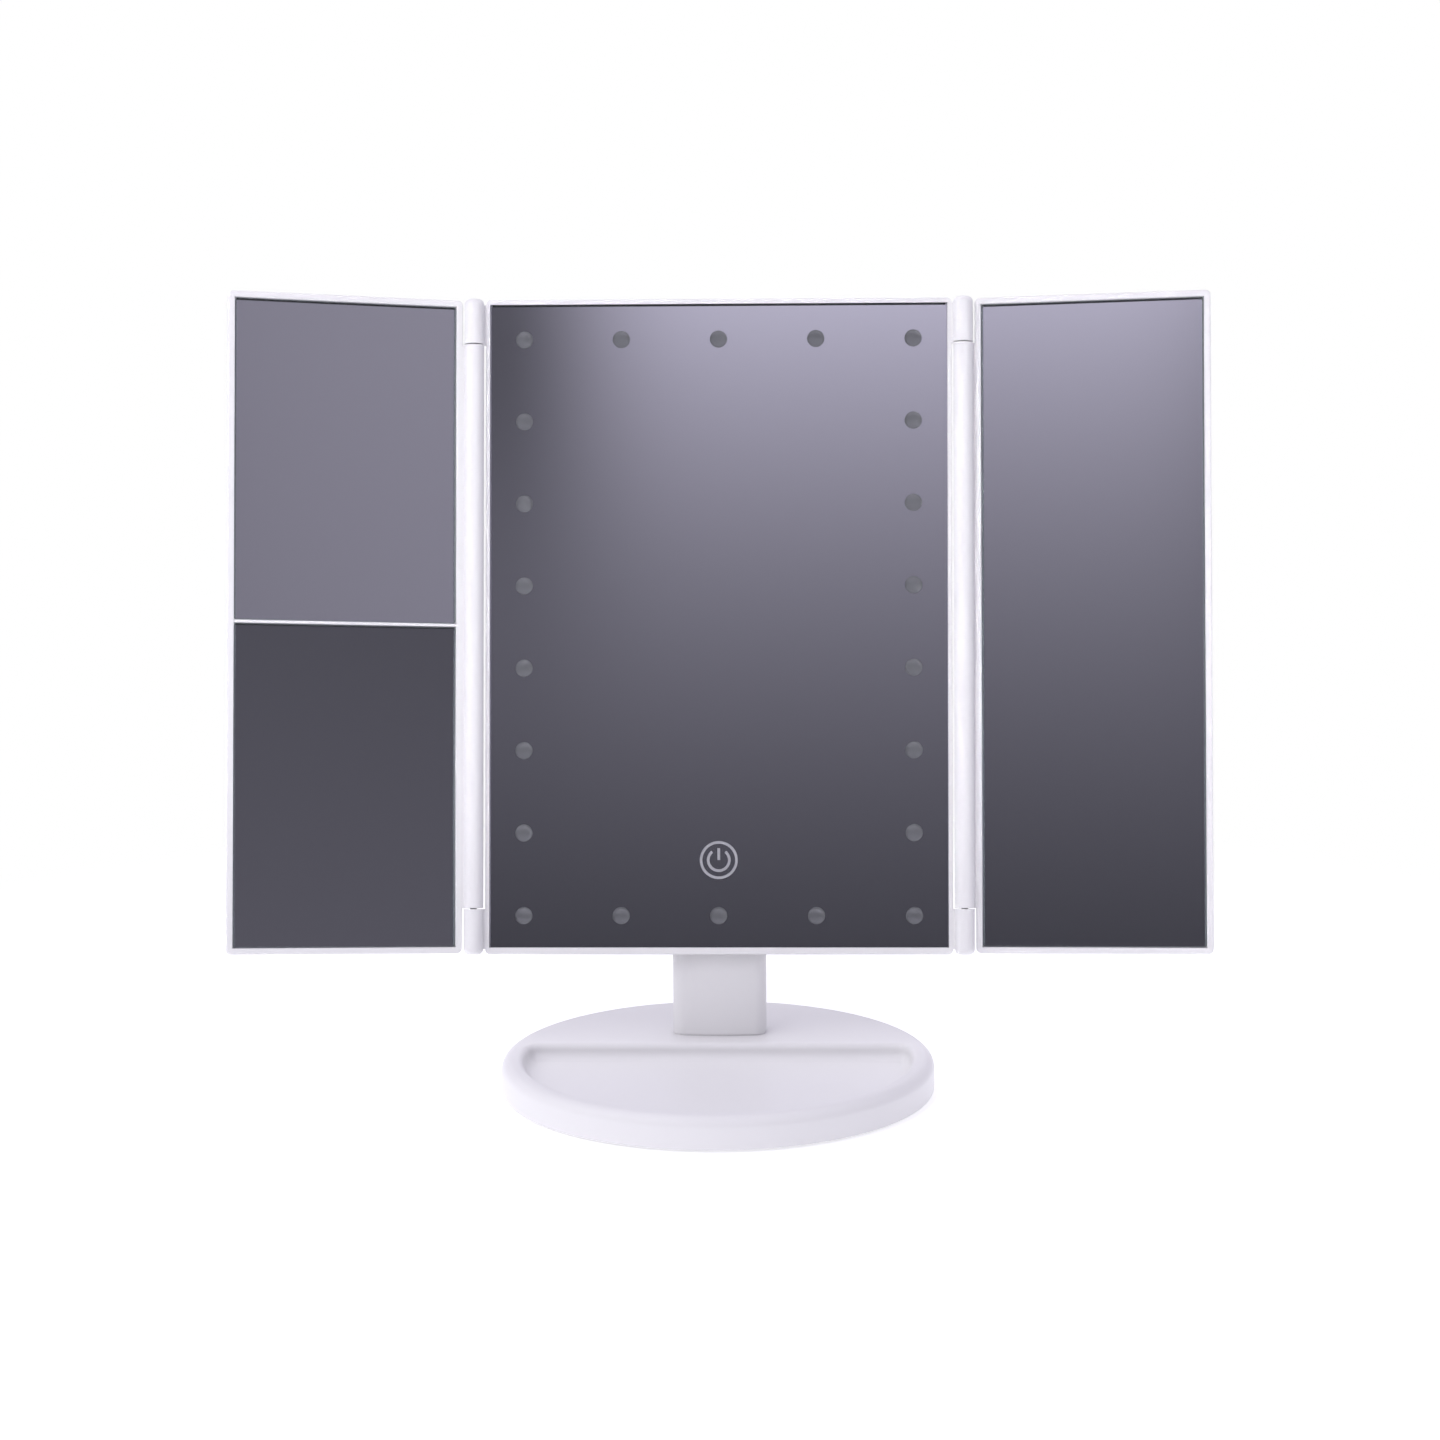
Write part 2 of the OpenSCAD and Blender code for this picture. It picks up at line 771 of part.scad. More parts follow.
module light_baffle() {
    color(white)
        head()
            difference() {
                block(-pane_w / 2, pane_w / 2, baffle_y, board_y, pane_z0, pane_z1);
                for (p = windows)
                    translate([p[0], 0, p[1]])
                        rod_y(window_d / 2, baffle_y - 1, board_y + 1);
                translate([0, 0, icon_z])
                    rod_y(disc_r + seat_gap, baffle_y - 1, board_y + 1);
                stem_notch();
            }
}

module led_board() {
    z0 = window_z0 - strip_w / 2;
    z1 = window_z1 + strip_w / 2;
    color("green")
        head()
            difference() {
                block(-window_x - strip_w / 2, window_x + strip_w / 2, board_y, board_back, z0, z1);
                block(-window_x + strip_w / 2, window_x - strip_w / 2, board_y - 1, board_back + 1,
                    z0 + strip_w, z1 - strip_w);
                rod_x(notch_r, -notch_w / 2, notch_w / 2);
            }
}

module leds() {
    color([0.95, 0.9, 0.6])
        head()
            for (p = windows)
                block(p[0] - led_w / 2, p[0] + led_w / 2, board_y - led_h, board_y,
                    p[1] - led_w / 2, p[1] + led_w / 2);
}

module icon_diffuser() {
    color([0.9, 0.9, 0.92])
        head()
            translate([0, 0, icon_z])
                rod_y(disc_r, baffle_y, baffle_y + disc_t);
}

module touch_pad() {
    color("peru")
        head()
            translate([0, 0, icon_z])
                rod_y(disc_r, baffle_y + disc_t, baffle_y + 2 * disc_t);
}

// The battery box's outside, and its room
module box_space(g, y0, y1) {
    block(-box_in_w / 2 - g, box_in_w / 2 + g, y0, y1, box_z0 - g, box_z1 + g);
}

module back_cover() {
    inner_w = head_w - 2 * cover_wall;
    color(white)
        head()
            difference() {
                union() {
                    difference() {
                        soft_slab(-head_w / 2, head_w / 2, split_y, rear_y, head_z0, head_z1, corner_r,
                            0, rear_edge_r);
                        block(-inner_w / 2, inner_w / 2, split_y - 1, rear_y - cover_wall,
                            head_z0 + cover_wall, head_z1 - cover_wall);
                    }
                    for (s = [-1, 1], z = boss_zs)
                        translate([s * boss_in, 0, z])
                            rod_y(boss_r, split_y, rear_y - eps);
                    box_space(box_wall, box_front, rear_y - eps);
                    // frame of the slide switch
                    block(switch_x - switch_w / 2 - 1, switch_x + switch_w / 2 + 1, rear_y - cover_wall - 2,
                        rear_y - eps, switch_up - switch_h / 2 - 1, switch_up + switch_h / 2 + 1);
                }
                // room for the batteries, the door's opening and its rebate
                box_space(0, box_front + 0.8, rear_y - cover_wall);
                block(-door_w / 2 + door_rebate, door_w / 2 - door_rebate, 0, rear_y + 1,
                    door_z0 + door_rebate, door_z0 + door_h - door_rebate);
                block(-door_w / 2 - seat_gap, door_w / 2 + seat_gap, rear_y - door_t, rear_y + 1,
                    door_z0 - seat_gap, door_z0 + door_h + seat_gap);
                // notch for the stem, open below and behind
                block(-notch_w / 2, notch_w / 2, split_y - 1, rear_y + 1, head_z0 - 1, notch_top);
                // ears' room through the bottom wall stays closed; screw holes and wells
                for (s = [-1, 1], z = boss_zs)
                    translate([s * boss_in, 0, z]) {
                        rod_y(screw_r + run_gap, split_y - 1, rear_y + 1);
                        rod_y(screw_head_r + seat_gap, rear_y - well_deep, rear_y + 1);
                    }
                // charging socket in the bottom wall
                block(usb_x - usb_w / 2 - seat_gap, usb_x + usb_w / 2 + seat_gap,
                    1 - seat_gap, 1 + usb_h + seat_gap, head_z0 - 1, head_z0 + usb_l + 1);
                // slide switch: slot for the knob, pocket for the body
                block(switch_x - knob_w / 2 - switch_travel - seat_gap, switch_x + knob_w / 2 + seat_gap,
                    0, rear_y + 1, switch_up - knob_h / 2 - seat_gap, switch_up + knob_h / 2 + seat_gap);
                block(switch_x - switch_w / 2 - seat_gap, switch_x + switch_w / 2 + seat_gap,
                    rear_y - cover_wall - 3, rear_y - cover_wall,
                    switch_up - switch_h / 2 - seat_gap, switch_up + switch_h / 2 + seat_gap);
            }
}

module control_board() {
    color("darkgreen")
        head() {
            block(ctrl_x0, ctrl_x0 + ctrl_w, split_y + 0.5, split_y + 0.5 + board_t,
                head_z0 + cover_wall, head_z0 + cover_wall + ctrl_h);
        }
}

module usb_socket() {
    y0 = 1;
    color("silver")
        head()
            difference() {
                slab(usb_x - usb_w / 2, usb_x + usb_w / 2, y0, y0 + usb_h, head_z0 + 0.2,
                    head_z0 + 0.2 + usb_l, 0.3);
                block(usb_x - usb_w / 2 + 0.4, usb_x + usb_w / 2 - 0.4, y0 + 0.4, y0 + usb_h - 0.4,
                    head_z0 - 1, head_z0 + usb_l - 0.6);
            }
}

module switch_body() {
    color("black")
        head()
            block(switch_x - switch_w / 2, switch_x + switch_w / 2, rear_y - cover_wall - 3,
                rear_y - cover_wall, switch_up - switch_h / 2, switch_up + switch_h / 2);
}

module switch_knob() {
    color("black")
        head()
            block(switch_x - knob_w / 2, switch_x + knob_w / 2, rear_y - cover_wall, rear_y + 1,
                switch_up - knob_h / 2, switch_up + knob_h / 2);
}

// Middles of the batteries
cell_xs = [for (i = [0 : cell_count - 1]) (i - (cell_count - 1) / 2) * cell_pitch];

module batteries() {
    color("slategray")
        head()
            for (x = cell_xs)
                translate([x, cell_y, box_z0 + 2]) {
                    cylinder(r = cell_d / 2, h = cell_l - 0.8);
                    translate([0, 0, cell_l - 0.8 - eps])
                        cylinder(r = 1.9, h = 0.8);
                }
}

module battery_contacts() {
    color("silver")
        head()
            for (x = cell_xs, top = [0, 1])
                translate([x, cell_y, top ? box_z1 - 0.4 : box_z0]) {
                    block(-4, 4, -4, 4, 0, 0.4);
                    translate([0, 0, top ? -1.5 : 0.4 - eps])
                        cylinder(r = 2.5, h = 1.5);
                }
}

module battery_leads() {
    color("firebrick")
        head()
            for (i = [0, 1])
                translate([box_in_w / 2 + box_wall, 2.5 + i * 2, box_z1 - 6])
                    block(0, 2 + ctrl_w / 4, -0.5, 0.5, -0.5, 0.5);
}

module cover_screws() {
    color("silver")
        head()
            for (s = [-1, 1], z = boss_zs)
                translate([s * boss_in, rear_y - well_deep, z])
                    rotate([90, 0, 0])
                        screw(screw_r, screw_l, screw_head_r, screw_head);
}

module hinge_pins() {
    color("silver")
        head()
            for (s = [-1, 1], z = [head_z0 + pin_end, head_z1 - pin_end - pin_l])
                translate([s * hinge_x, hinge_y, z])
                    cylinder(r = pin_r, h = pin_l);
}

module battery_door() {
    color(white)
        head()
            difference() {
                block(-door_w / 2, door_w / 2, rear_y - door_t, rear_y, door_z0, door_z0 + door_h);
                translate([0, rear_y - groove_deep + groove_r, door_z0 + door_h - groove_down])
                    rod_x(groove_r, -groove_l / 2, groove_l / 2);
            }
}

// Wings

// Depth of a dished tile at its middle, and how much of it is left at the middle of its long sides
function dish_deep(z0, z1, curve) = (pow(tile_w / 2, 2) + pow((z1 - z0) / 2, 2)) / (2 * curve);
function side_deep(z0, z1, curve) = pow((z1 - z0) / 2, 2) / (2 * curve);

// Pocket of one mirror: the seat of the tile, then the deeper room inside its ledge
module tile_pocket(z0, z1, curve) {
    seat = curve == 0 ? 0 : side_deep(z0, z1, curve) + seat_gap;
    block(tile_x - seat_gap, tile_x + tile_w + seat_gap, hinge_out - 1, tile_y + wing_glass_t + seat,
        z0 - seat_gap, z1 + seat_gap);
    block(tile_x + ledge, tile_x + tile_w - ledge, hinge_out, hinge_out + wing_t - wing_wall,
        z0 + ledge, z1 - ledge);
}

module wing_shell(tiles) {
    x1 = wing_in + wing_w;
    difference() {
        union() {
            soft_slab(wing_in, x1, hinge_out, hinge_out + wing_t, wing_z0, wing_z1, corner_r,
                front_edge_r, wing_edge_r);
            translate([0, 0, barrel_z0])
                cylinder(r = knuckle_r, h = barrel_z1 - barrel_z0);
            block(0, wing_in + 1, hinge_out, knuckle_r, barrel_z0, barrel_z1);
        }
        for (t = tiles)
            tile_pocket(t[0], t[1], t[2]);
        for (z = [barrel_z0 - 1, barrel_z1 - pin_in - 1])
            translate([0, 0, z])
                cylinder(r = pin_r + run_gap, h = pin_in + 2);
    }
}

// The mirrors of each wing: lower end, upper end, radius of curvature (0 for flat)
left_tiles = [[tile_z0, divider_z0 - seat_gap, lower_curve], [divider_z1 + seat_gap, tile_z1, upper_curve]];
right_tiles = [[tile_z0, tile_z1, 0]];

// A flat mirror tile
module flat_tile(z0, z1) {
    block(tile_x, tile_x + tile_w, tile_y, tile_y + wing_glass_t, z0, z1);
}

// A magnifying tile: a shallow dish of the given radius of curvature, cut to the tile's outline
module dished_tile(z0, z1, curve) {
    half = norm([tile_w / 2, (z1 - z0) / 2]);
    sag = dish_deep(z0, z1, curve);
    steps = 12;
    front = [for (i = [0 : steps]) let (r = (half + 1) * i / steps) [r, r * r / (2 * curve)]];
    intersection() {
        block(tile_x, tile_x + tile_w, tile_y - 1, tile_y + wing_glass_t + 3, z0, z1);
        translate([tile_x + tile_w / 2, tile_y + sag, (z0 + z1) / 2])
            rotate([90, 0, 0])
                rotate_extrude($fn = 96)
                    polygon(concat(front, [for (i = [steps : -1 : 0]) front[i] - [0, wing_glass_t]]));
    }
}

// Foam strips that carry a tile on the wing's rear wall
module tile_pads(z0, z1, back) {
    for (z = [z0 + 12, z1 - 12 - pad_w])
        block(tile_x + 12, tile_x + tile_w - 12, back, hinge_out + wing_t - wing_wall, z, z + pad_w);
}

module left_wing_shell() {
    color(white)
        wing(-1)
            wing_shell(left_tiles);
}

module right_wing_shell() {
    color(white)
        wing(1)
            wing_shell(right_tiles);
}

module left_upper_mirror() {
    color([0.5, 0.5, 0.54])
        wing(-1)
            dished_tile(left_tiles[1][0], left_tiles[1][1], left_tiles[1][2]);
}

module left_lower_mirror() {
    color([0.46, 0.46, 0.5])
        wing(-1)
            dished_tile(left_tiles[0][0], left_tiles[0][1], left_tiles[0][2]);
}

module right_mirror() {
    color([0.5, 0.5, 0.54])
        wing(1)
            flat_tile(right_tiles[0][0], right_tiles[0][1]);
}

module left_wing_pads() {
    color("dimgray")
        wing(-1)
            for (t = left_tiles)
                tile_pads(t[0], t[1], tile_y + wing_glass_t + dish_deep(t[0], t[1], t[2]) + seat_gap);
}

module right_wing_pads() {
    color("dimgray")
        wing(1)
            tile_pads(right_tiles[0][0], right_tiles[0][1], tile_y + wing_glass_t);
}

base_shell();
base_bottom();
base_weight();
foot_ring();
base_screws();
stem_shell();
stem_rear_cover();
stem_screws();
tilt_bushes();
tilt_shaft();
centre_frame();
centre_glass();
centre_silvering();
light_baffle();
led_board();
leds();
icon_diffuser();
touch_pad();
back_cover();
control_board();
usb_socket();
switch_body();
battery_contacts();
batteries();
battery_leads();
cover_screws();
hinge_pins();
battery_door();
switch_knob();
left_wing_shell();
left_upper_mirror();
left_lower_mirror();
left_wing_pads();
right_wing_shell();
right_mirror();
right_wing_pads();
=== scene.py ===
"""Looks of the trifold vanity mirror: its surfaces and finishes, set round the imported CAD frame."""

import json
import math

import bmesh
import bpy
import numpy as np
from mathutils import Matrix, Vector


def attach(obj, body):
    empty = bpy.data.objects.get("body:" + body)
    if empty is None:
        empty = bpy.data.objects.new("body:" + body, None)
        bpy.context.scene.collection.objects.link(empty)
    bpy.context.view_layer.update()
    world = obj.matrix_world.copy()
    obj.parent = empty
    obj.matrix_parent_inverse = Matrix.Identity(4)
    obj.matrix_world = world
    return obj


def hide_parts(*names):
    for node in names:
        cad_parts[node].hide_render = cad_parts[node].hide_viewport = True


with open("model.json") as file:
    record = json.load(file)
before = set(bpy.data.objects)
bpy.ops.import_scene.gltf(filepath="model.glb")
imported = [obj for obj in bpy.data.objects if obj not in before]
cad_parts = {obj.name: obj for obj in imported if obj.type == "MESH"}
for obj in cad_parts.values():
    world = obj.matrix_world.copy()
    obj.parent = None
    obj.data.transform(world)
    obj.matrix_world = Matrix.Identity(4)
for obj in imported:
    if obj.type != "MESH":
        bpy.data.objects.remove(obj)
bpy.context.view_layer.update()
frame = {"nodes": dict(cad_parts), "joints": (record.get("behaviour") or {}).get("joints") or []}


# ---------------------------------------------------------------------------------------------
# The photograph's view: a product camera a metre in front of the mirror, just right of its
# middle, that looks slightly down at it.

CAMERA_AT = (0.0293, -1.0, 0.2965)
CAMERA_DOWN = math.radians(10.95)
CAMERA_LEFT = math.radians(1.6)
CAMERA_ROLL = math.radians(-0.38)
CAMERA_LENS = 72.19
CAMERA_SHIFT = 0.06

camera = bpy.data.objects.new("camera", bpy.data.cameras.new("camera"))
bpy.context.scene.collection.objects.link(camera)
bpy.context.scene.camera = camera
camera.matrix_world = (
    Matrix.Translation(CAMERA_AT)
    @ Matrix.Rotation(CAMERA_LEFT, 4, "Z")
    @ Matrix.Rotation(math.pi / 2 - CAMERA_DOWN, 4, "X")
    @ Matrix.Rotation(CAMERA_ROLL, 4, "Z")
)
camera.data.lens = CAMERA_LENS
camera.data.shift_y = CAMERA_SHIFT
bpy.context.scene.view_settings.view_transform = "Standard"


# ---------------------------------------------------------------------------------------------
# The studio: a white backdrop behind, and in front the dim room that the mirrors reflect. The
# room grows brighter towards the soft lamps overhead, and has two dark patches above the camera.


class Value:
    """A socket of a node tree. Sums and products on it add Math nodes to that tree."""

    def __init__(self, tree, socket=None):
        self.tree, self.socket = tree, socket

    def node(self, kind, settings=(), inputs=(), output=0):
        """Adds a node: first its settings, with a ramp's two colours as ends, then its inputs."""
        made = self.tree.nodes.new(kind)
        for name, setting in dict(settings).items():
            if name == "ends":
                for element, colour in zip(made.color_ramp.elements, setting):
                    element.color = colour
            else:
                setattr(made, name, setting)
        for name, value in dict(inputs).items():
            if isinstance(value, Value):
                self.tree.links.new(value.socket, made.inputs[name])
            else:
                made.inputs[name].default_value = value
        return Value(self.tree, made.outputs[output] if made.outputs else None)

    def other(self, output):
        return Value(self.tree, self.socket.node.outputs[output])

    def maths(self, operation, *values):
        return self.node("ShaderNodeMath", {"operation": operation}, enumerate(values))

    def __add__(self, other):
        return self.maths("ADD", self, other)

    def __sub__(self, other):
        return self.maths("SUBTRACT", self, other)

    def __rsub__(self, other):
        return self.maths("SUBTRACT", other, self)

    def __mul__(self, other):
        return self.maths("MULTIPLY", self, other)

    def __rpow__(self, other):
        return self.maths("POWER", other, self)

    __radd__, __rmul__ = __add__, __mul__


ROOM_TINT = (1.0, 0.965, 1.12, 1.0)
ROOM_LOW = (0.072, 11.1)  # the room's brightness, and the elevation in degrees where it is seen
ROOM_GROWTH = 1.185  # how many times as bright each degree further up
ROOM_DARKEST, ROOM_BRIGHTEST = 0.07, 0.8
DARK_PATCHES = [  # how dark, then azimuth, elevation and their spreads in degrees
    (0.8, -6.5, 24.0, 2.6, 7.0),
    (0.63, 20.0, 21.0, 1.6, 4.0),
]
BACKDROP = 0.75
BACKDROP_FROM, BACKDROP_TO = -0.05, 0.35  # the Y of the directions between which it takes over

world = bpy.data.worlds.new("studio")
bpy.context.scene.world = world
world.use_nodes = True
world.node_tree.nodes.clear()
studio = Value(world.node_tree)
along = studio.node("ShaderNodeSeparateXYZ", inputs={0: studio.node("ShaderNodeTexCoord")})
across, inward, upward = along, along.other("Y"), along.other("Z")
elevation = studio.maths("ARCSINE", upward) * math.degrees(1)
azimuth = studio.maths("ARCTAN2", across, 0 - inward) * math.degrees(1)
room = ROOM_LOW[0] * ROOM_GROWTH ** (elevation - ROOM_LOW[1])
room = studio.maths("MAXIMUM", studio.maths("MINIMUM", room, ROOM_BRIGHTEST), ROOM_DARKEST)
for dark, patch_azimuth, patch_elevation, spread_across, spread_up in DARK_PATCHES:
    aside = (azimuth - patch_azimuth) * (1 / spread_across)
    above = (elevation - patch_elevation) * (1 / spread_up)
    room = room * (1 - dark * math.e ** (0 - (aside * aside + above * above)))
behind = studio.node(
    "ShaderNodeMapRange", inputs={"Value": inward, "From Min": BACKDROP_FROM, "From Max": BACKDROP_TO}
)
level = room * (1 - behind) + BACKDROP * behind
white = studio.node("ShaderNodeBackground", inputs={"Color": (1, 1, 1, 1), "Strength": 1.0})
lit = studio.node("ShaderNodeBackground", inputs={"Color": ROOM_TINT, "Strength": level})
sky = studio.node("ShaderNodeMixShader", inputs={0: studio.node("ShaderNodeLightPath"), 1: lit, 2: white})
studio.node("ShaderNodeOutputWorld", inputs={0: sky})

# place, aim, size, watts and spread in degrees
KEY_LAMP = ((-0.95, -1.05, 1.35), (0.0, 0.0, 0.16), (1.2, 0.8), 6.8, 180)
HEAD_LAMP = ((-0.55, -1.25, 0.245), (-0.02, 0.05, 0.195), (0.62, 0.24), 0.14, 8)
TOP_LAMP = ((-0.3, 0.0, 1.40), (0.0, -0.06, 0.0), (0.8, 0.5), 2.6, 180)
LEFT_LAMP = ((-1.5, -0.5, 0.75), (0, 0, 0.15), (0.8, 1.1), 3.4, 180)
BACK_LAMP = ((0.2, 1.5, 1.2), (0, 0, 0.15), (1.4, 0.9), 3.0, 180)

lamps = [KEY_LAMP, HEAD_LAMP, TOP_LAMP, LEFT_LAMP, BACK_LAMP]
for number, (place, aim, size, watts, spread) in enumerate(lamps):
    lamp = bpy.data.objects.new(f"lamp_{number}", bpy.data.lights.new(f"lamp_{number}", "AREA"))
    bpy.context.scene.collection.objects.link(lamp)
    lamp.location = place
    lamp.rotation_euler = (Vector(aim) - Vector(place)).to_track_quat("-Z", "Y").to_euler()
    lamp.data.shape = "RECTANGLE"
    lamp.data.size, lamp.data.size_y = size
    lamp.data.energy, lamp.data.spread = watts, math.radians(spread)
    lamp.visible_glossy = False

FLOOR_HALF = 5.0
FLOOR_COLOUR = (0.9, 0.9, 0.92, 1.0)
FLOOR_LIFT = 0.37  # light of the table's own, which keeps the shadows on it pale
SHADOW_REACH = (0.12, 0.5)  # the table top turns into the white sweep between these distances

floor_mesh = bpy.data.meshes.new("floor")
corners = [(x * FLOOR_HALF, y * FLOOR_HALF, 0.0) for x, y in ((-1, -1), (1, -1), (1, 1), (-1, 1))]
floor_mesh.from_pydata(corners, [], [(0, 1, 2, 3)])
floor = bpy.data.objects.new("floor", floor_mesh)
bpy.context.scene.collection.objects.link(floor)
floor_finish = bpy.data.materials.new("floor")
floor_finish.use_nodes = True
floor_finish.node_tree.nodes.clear()
table = Value(floor_finish.node_tree)
place = table.node("ShaderNodeTexCoord", output="Object")
distance = table.node("ShaderNodeVectorMath", {"operation": "LENGTH"}, {0: place}, output="Value")
far = table.node(
    "ShaderNodeMapRange",
    {"interpolation_type": "SMOOTHSTEP"},
    {"Value": distance, "From Min": SHADOW_REACH[0], "From Max": SHADOW_REACH[1]},
)
matt = table.node("ShaderNodeBsdfDiffuse", inputs={"Color": FLOOR_COLOUR})
sweep = table.node("ShaderNodeEmission", inputs={"Color": (1, 1, 1, 1), "Strength": 1.0})
is_camera = table.node("ShaderNodeLightPath")
lift = table.node("ShaderNodeEmission", inputs={"Color": (1, 1, 1, 1), "Strength": FLOOR_LIFT})
near = table.node("ShaderNodeAddShader", inputs={0: matt, 1: lift})
blend = table.node("ShaderNodeMixShader", inputs={0: far * is_camera, 1: near, 2: sweep})
table.node("ShaderNodeOutputMaterial", inputs={0: blend})
floor_mesh.materials.append(floor_finish)


# ---------------------------------------------------------------------------------------------
# Base shell. One injection moulding in satin white plastic: a low drum with a rolled upper edge
# and a sunk tray for small things, cut off straight in front of the stem. It is open below.

MM = 0.001
WORLD = np.eye(4)


def node_points(node, place=WORLD):
    """Points of a CAD node in mm, seen from the frame of place."""
    mesh = frame["nodes"][node].data
    points = np.empty(len(mesh.vertices) * 3)
    mesh.vertices.foreach_get("co", points)
    points = np.c_[points.reshape(-1, 3) / MM, np.ones(len(mesh.vertices))] @ np.linalg.inv(place).T
    return points[:, :3]


def inner_box(node, place=WORLD):
    """Lowest and highest corner of a CAD node in mm, seen from the frame of place."""
    points = node_points(node, place)
    return points.min(0), points.max(0)


def arc(u, v, radius, start, end, steps=6):
    """Points of a profile on a circle about (u, v), from one angle in degrees to another."""
    turn = np.radians(np.linspace(start, end, steps + 1))
    return np.stack([u + radius * np.cos(turn), v + radius * np.sin(turn)], -1)


def profile(*stretches):
    """Joins points and arcs into one profile of (u, v) rows."""
    return np.concatenate([np.atleast_2d(np.asarray(s, float)) for s in stretches])


def skin(loops, ring=False):
    """Quads between neighbouring closed loops, and a face over each end, or ring to join the ends."""
    rows, count = loops.shape[:2]
    row = np.arange(rows if ring else rows - 1)[:, None]
    here = np.arange(count)[None]
    beside, after = (here + 1) % count, (row + 1) % rows
    quads = [row * count + here, row * count + beside, after * count + beside, after * count + here]
    faces = np.stack(quads, -1).reshape(-1, 4).tolist()
    ends = [] if ring else [list(range(count))[::-1], list(range((rows - 1) * count, rows * count))]
    return loops.reshape(-1, 3), faces + ends, 0


def piece(name, parts, body, replaced, finishes, place=WORLD, sharp=32.0, even=True):
    """Joins parts, each (points in mm, faces, number of its finish or one a face), into one piece."""
    starts = np.cumsum([0] + [len(points) for points, *_ in parts])
    points = np.concatenate([points for points, *_ in parts])
    points = (np.c_[points, np.ones(len(points))] @ place.T)[:, :3] * MM
    faces = [[i + start for i in face] for (_, some, _), start in zip(parts, starts) for face in some]
    mesh = bpy.data.meshes.new(name)
    mesh.from_pydata(points.tolist(), [], faces)
    numbers = [np.broadcast_to(number, len(some)) for _, some, number in parts]
    mesh.polygons.foreach_set("material_index", np.concatenate(numbers))
    for finish in finishes:
        mesh.materials.append(finish)
    return dress(name, mesh, body, replaced, sharp, 0.0, even)


MERGED, THIN = 0.002 * MM, 0.001 * MM  # doubles and slivers up to these sizes are taken out
LEVEL, BEVELLED = math.radians(0.2), math.radians(50)  # faces that count as one; edges that count


def dress(name, mesh, body, replaced, sharp, rounded=0.0, even=True):
    """Makes a piece of a mesh: no stored normals or doubles, faces outwards, smooth, on its body.

    rounded, in mm, bevels the edges of a CAD node's copy; else edges over sharp degrees stay hard."""
    for layer in [a for a in mesh.attributes if a.name == "custom_normal"]:
        mesh.attributes.remove(layer)
    merged = bmesh.new()
    merged.from_mesh(mesh)
    bmesh.ops.remove_doubles(merged, verts=merged.verts, dist=MERGED)
    bmesh.ops.dissolve_degenerate(merged, edges=merged.edges, dist=THIN)
    if rounded:
        bmesh.ops.dissolve_limit(merged, angle_limit=LEVEL, verts=merged.verts, edges=merged.edges)
    else:
        bmesh.ops.recalc_face_normals(merged, faces=merged.faces)
    merged.to_mesh(mesh)
    merged.free()
    mesh.shade_smooth()
    made = bpy.data.objects.new(name, mesh)
    bpy.context.scene.collection.objects.link(made)
    if rounded:
        edge = made.modifiers.new("edges", "BEVEL")
        edge.width, edge.segments, edge.limit_method = rounded * MM, 2, "ANGLE"
        edge.angle_limit = BEVELLED
    else:
        mesh.set_sharp_from_angle(angle=math.radians(sharp))
    if even:
        made.modifiers.new("even", "WEIGHTED_NORMAL").keep_sharp = True
    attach(made, body)
    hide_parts(*replaced)
    return made


def finish(name, **same):
    """A Principled material; same gives the sockets that are the same all over."""
    made = bpy.data.materials.new(name)
    made.use_nodes = True
    shader = made.node_tree.nodes["Principled BSDF"]
    for socket, value in same.items():
        shader.inputs[socket.replace("_", " ")].default_value = value
    return made, Value(made.node_tree, shader.outputs[0])


def drive(look, **driven):
    """Links worked-out values to sockets of a finish's Principled shader."""
    shader = look.socket.node
    for socket, value in driven.items():
        look.tree.links.new(value.socket, shader.inputs[socket.replace("_", " ")])


def speckle(look, size, detail=3.0):
    """Noise from 0 to 1 whose grain is size mm, on the object's own coordinates."""
    place = look.node("ShaderNodeTexCoord", output="Object")
    grains = {"Vector": place, "Scale": 1 / (size * MM), "Detail": detail}
    return look.node("ShaderNodeTexNoise", inputs=grains)


def gloss(look, roughness, size, spread=0.1):
    """Roughness that varies by spread about a middle value, in patches of size mm."""
    drive(look, Roughness=roughness + spread * (speckle(look, size) - 0.5))


def relief(look, strength, depth, height):
    """A bump of depth mm that follows height."""
    bump = {"Strength": strength, "Distance": depth * MM, "Height": height}
    drive(look, Normal=look.node("ShaderNodeBump", inputs=bump))


def moulded(name, colour, roughness, grain=0.45, depth=0.012):
    """Injection-moulded plastic: fine spark texture, and gloss that varies a little over the part."""
    made, look = finish(name, Base_Color=(*colour, 1.0), IOR=1.5)
    broad, fine = speckle(look, 18.0) - 0.5, speckle(look, 1.2) - 0.5
    drive(look, Roughness=roughness + 0.08 * broad + 0.05 * fine)
    relief(look, 0.35, depth, speckle(look, grain, 2.0))
    return made


WHITE = (0.80, 0.795, 0.797)
white_plastic = moulded("white_plastic", WHITE, 0.34)

low, high = inner_box("base_shell")
BASE_R, BASE_H, SKIRT_Z = high[0], high[2], low[2]
BASE_WALL, BASE_EDGE, SKIRT_EDGE, BASE_RIM = 2.0, 4.0, 0.4, 8.0
TRAY_R = BASE_R - BASE_RIM
TRAY_BACK, TRAY_DEPTH, TRAY_FILLET, TRAY_CORNER, LEAST_CORNER = 13.0, 6.0, 3.5, 5.0, 0.4
TRAY_LIP, TRAY_WALL, TRAY_FLAT = 2.3, 1.0, 1.5
TRAY_FLOOR = BASE_H - TRAY_DEPTH
NEAR_LEVEL = 0.01  # a sine; the tray's straight wall is never met below it
BASE_POINTS = 384


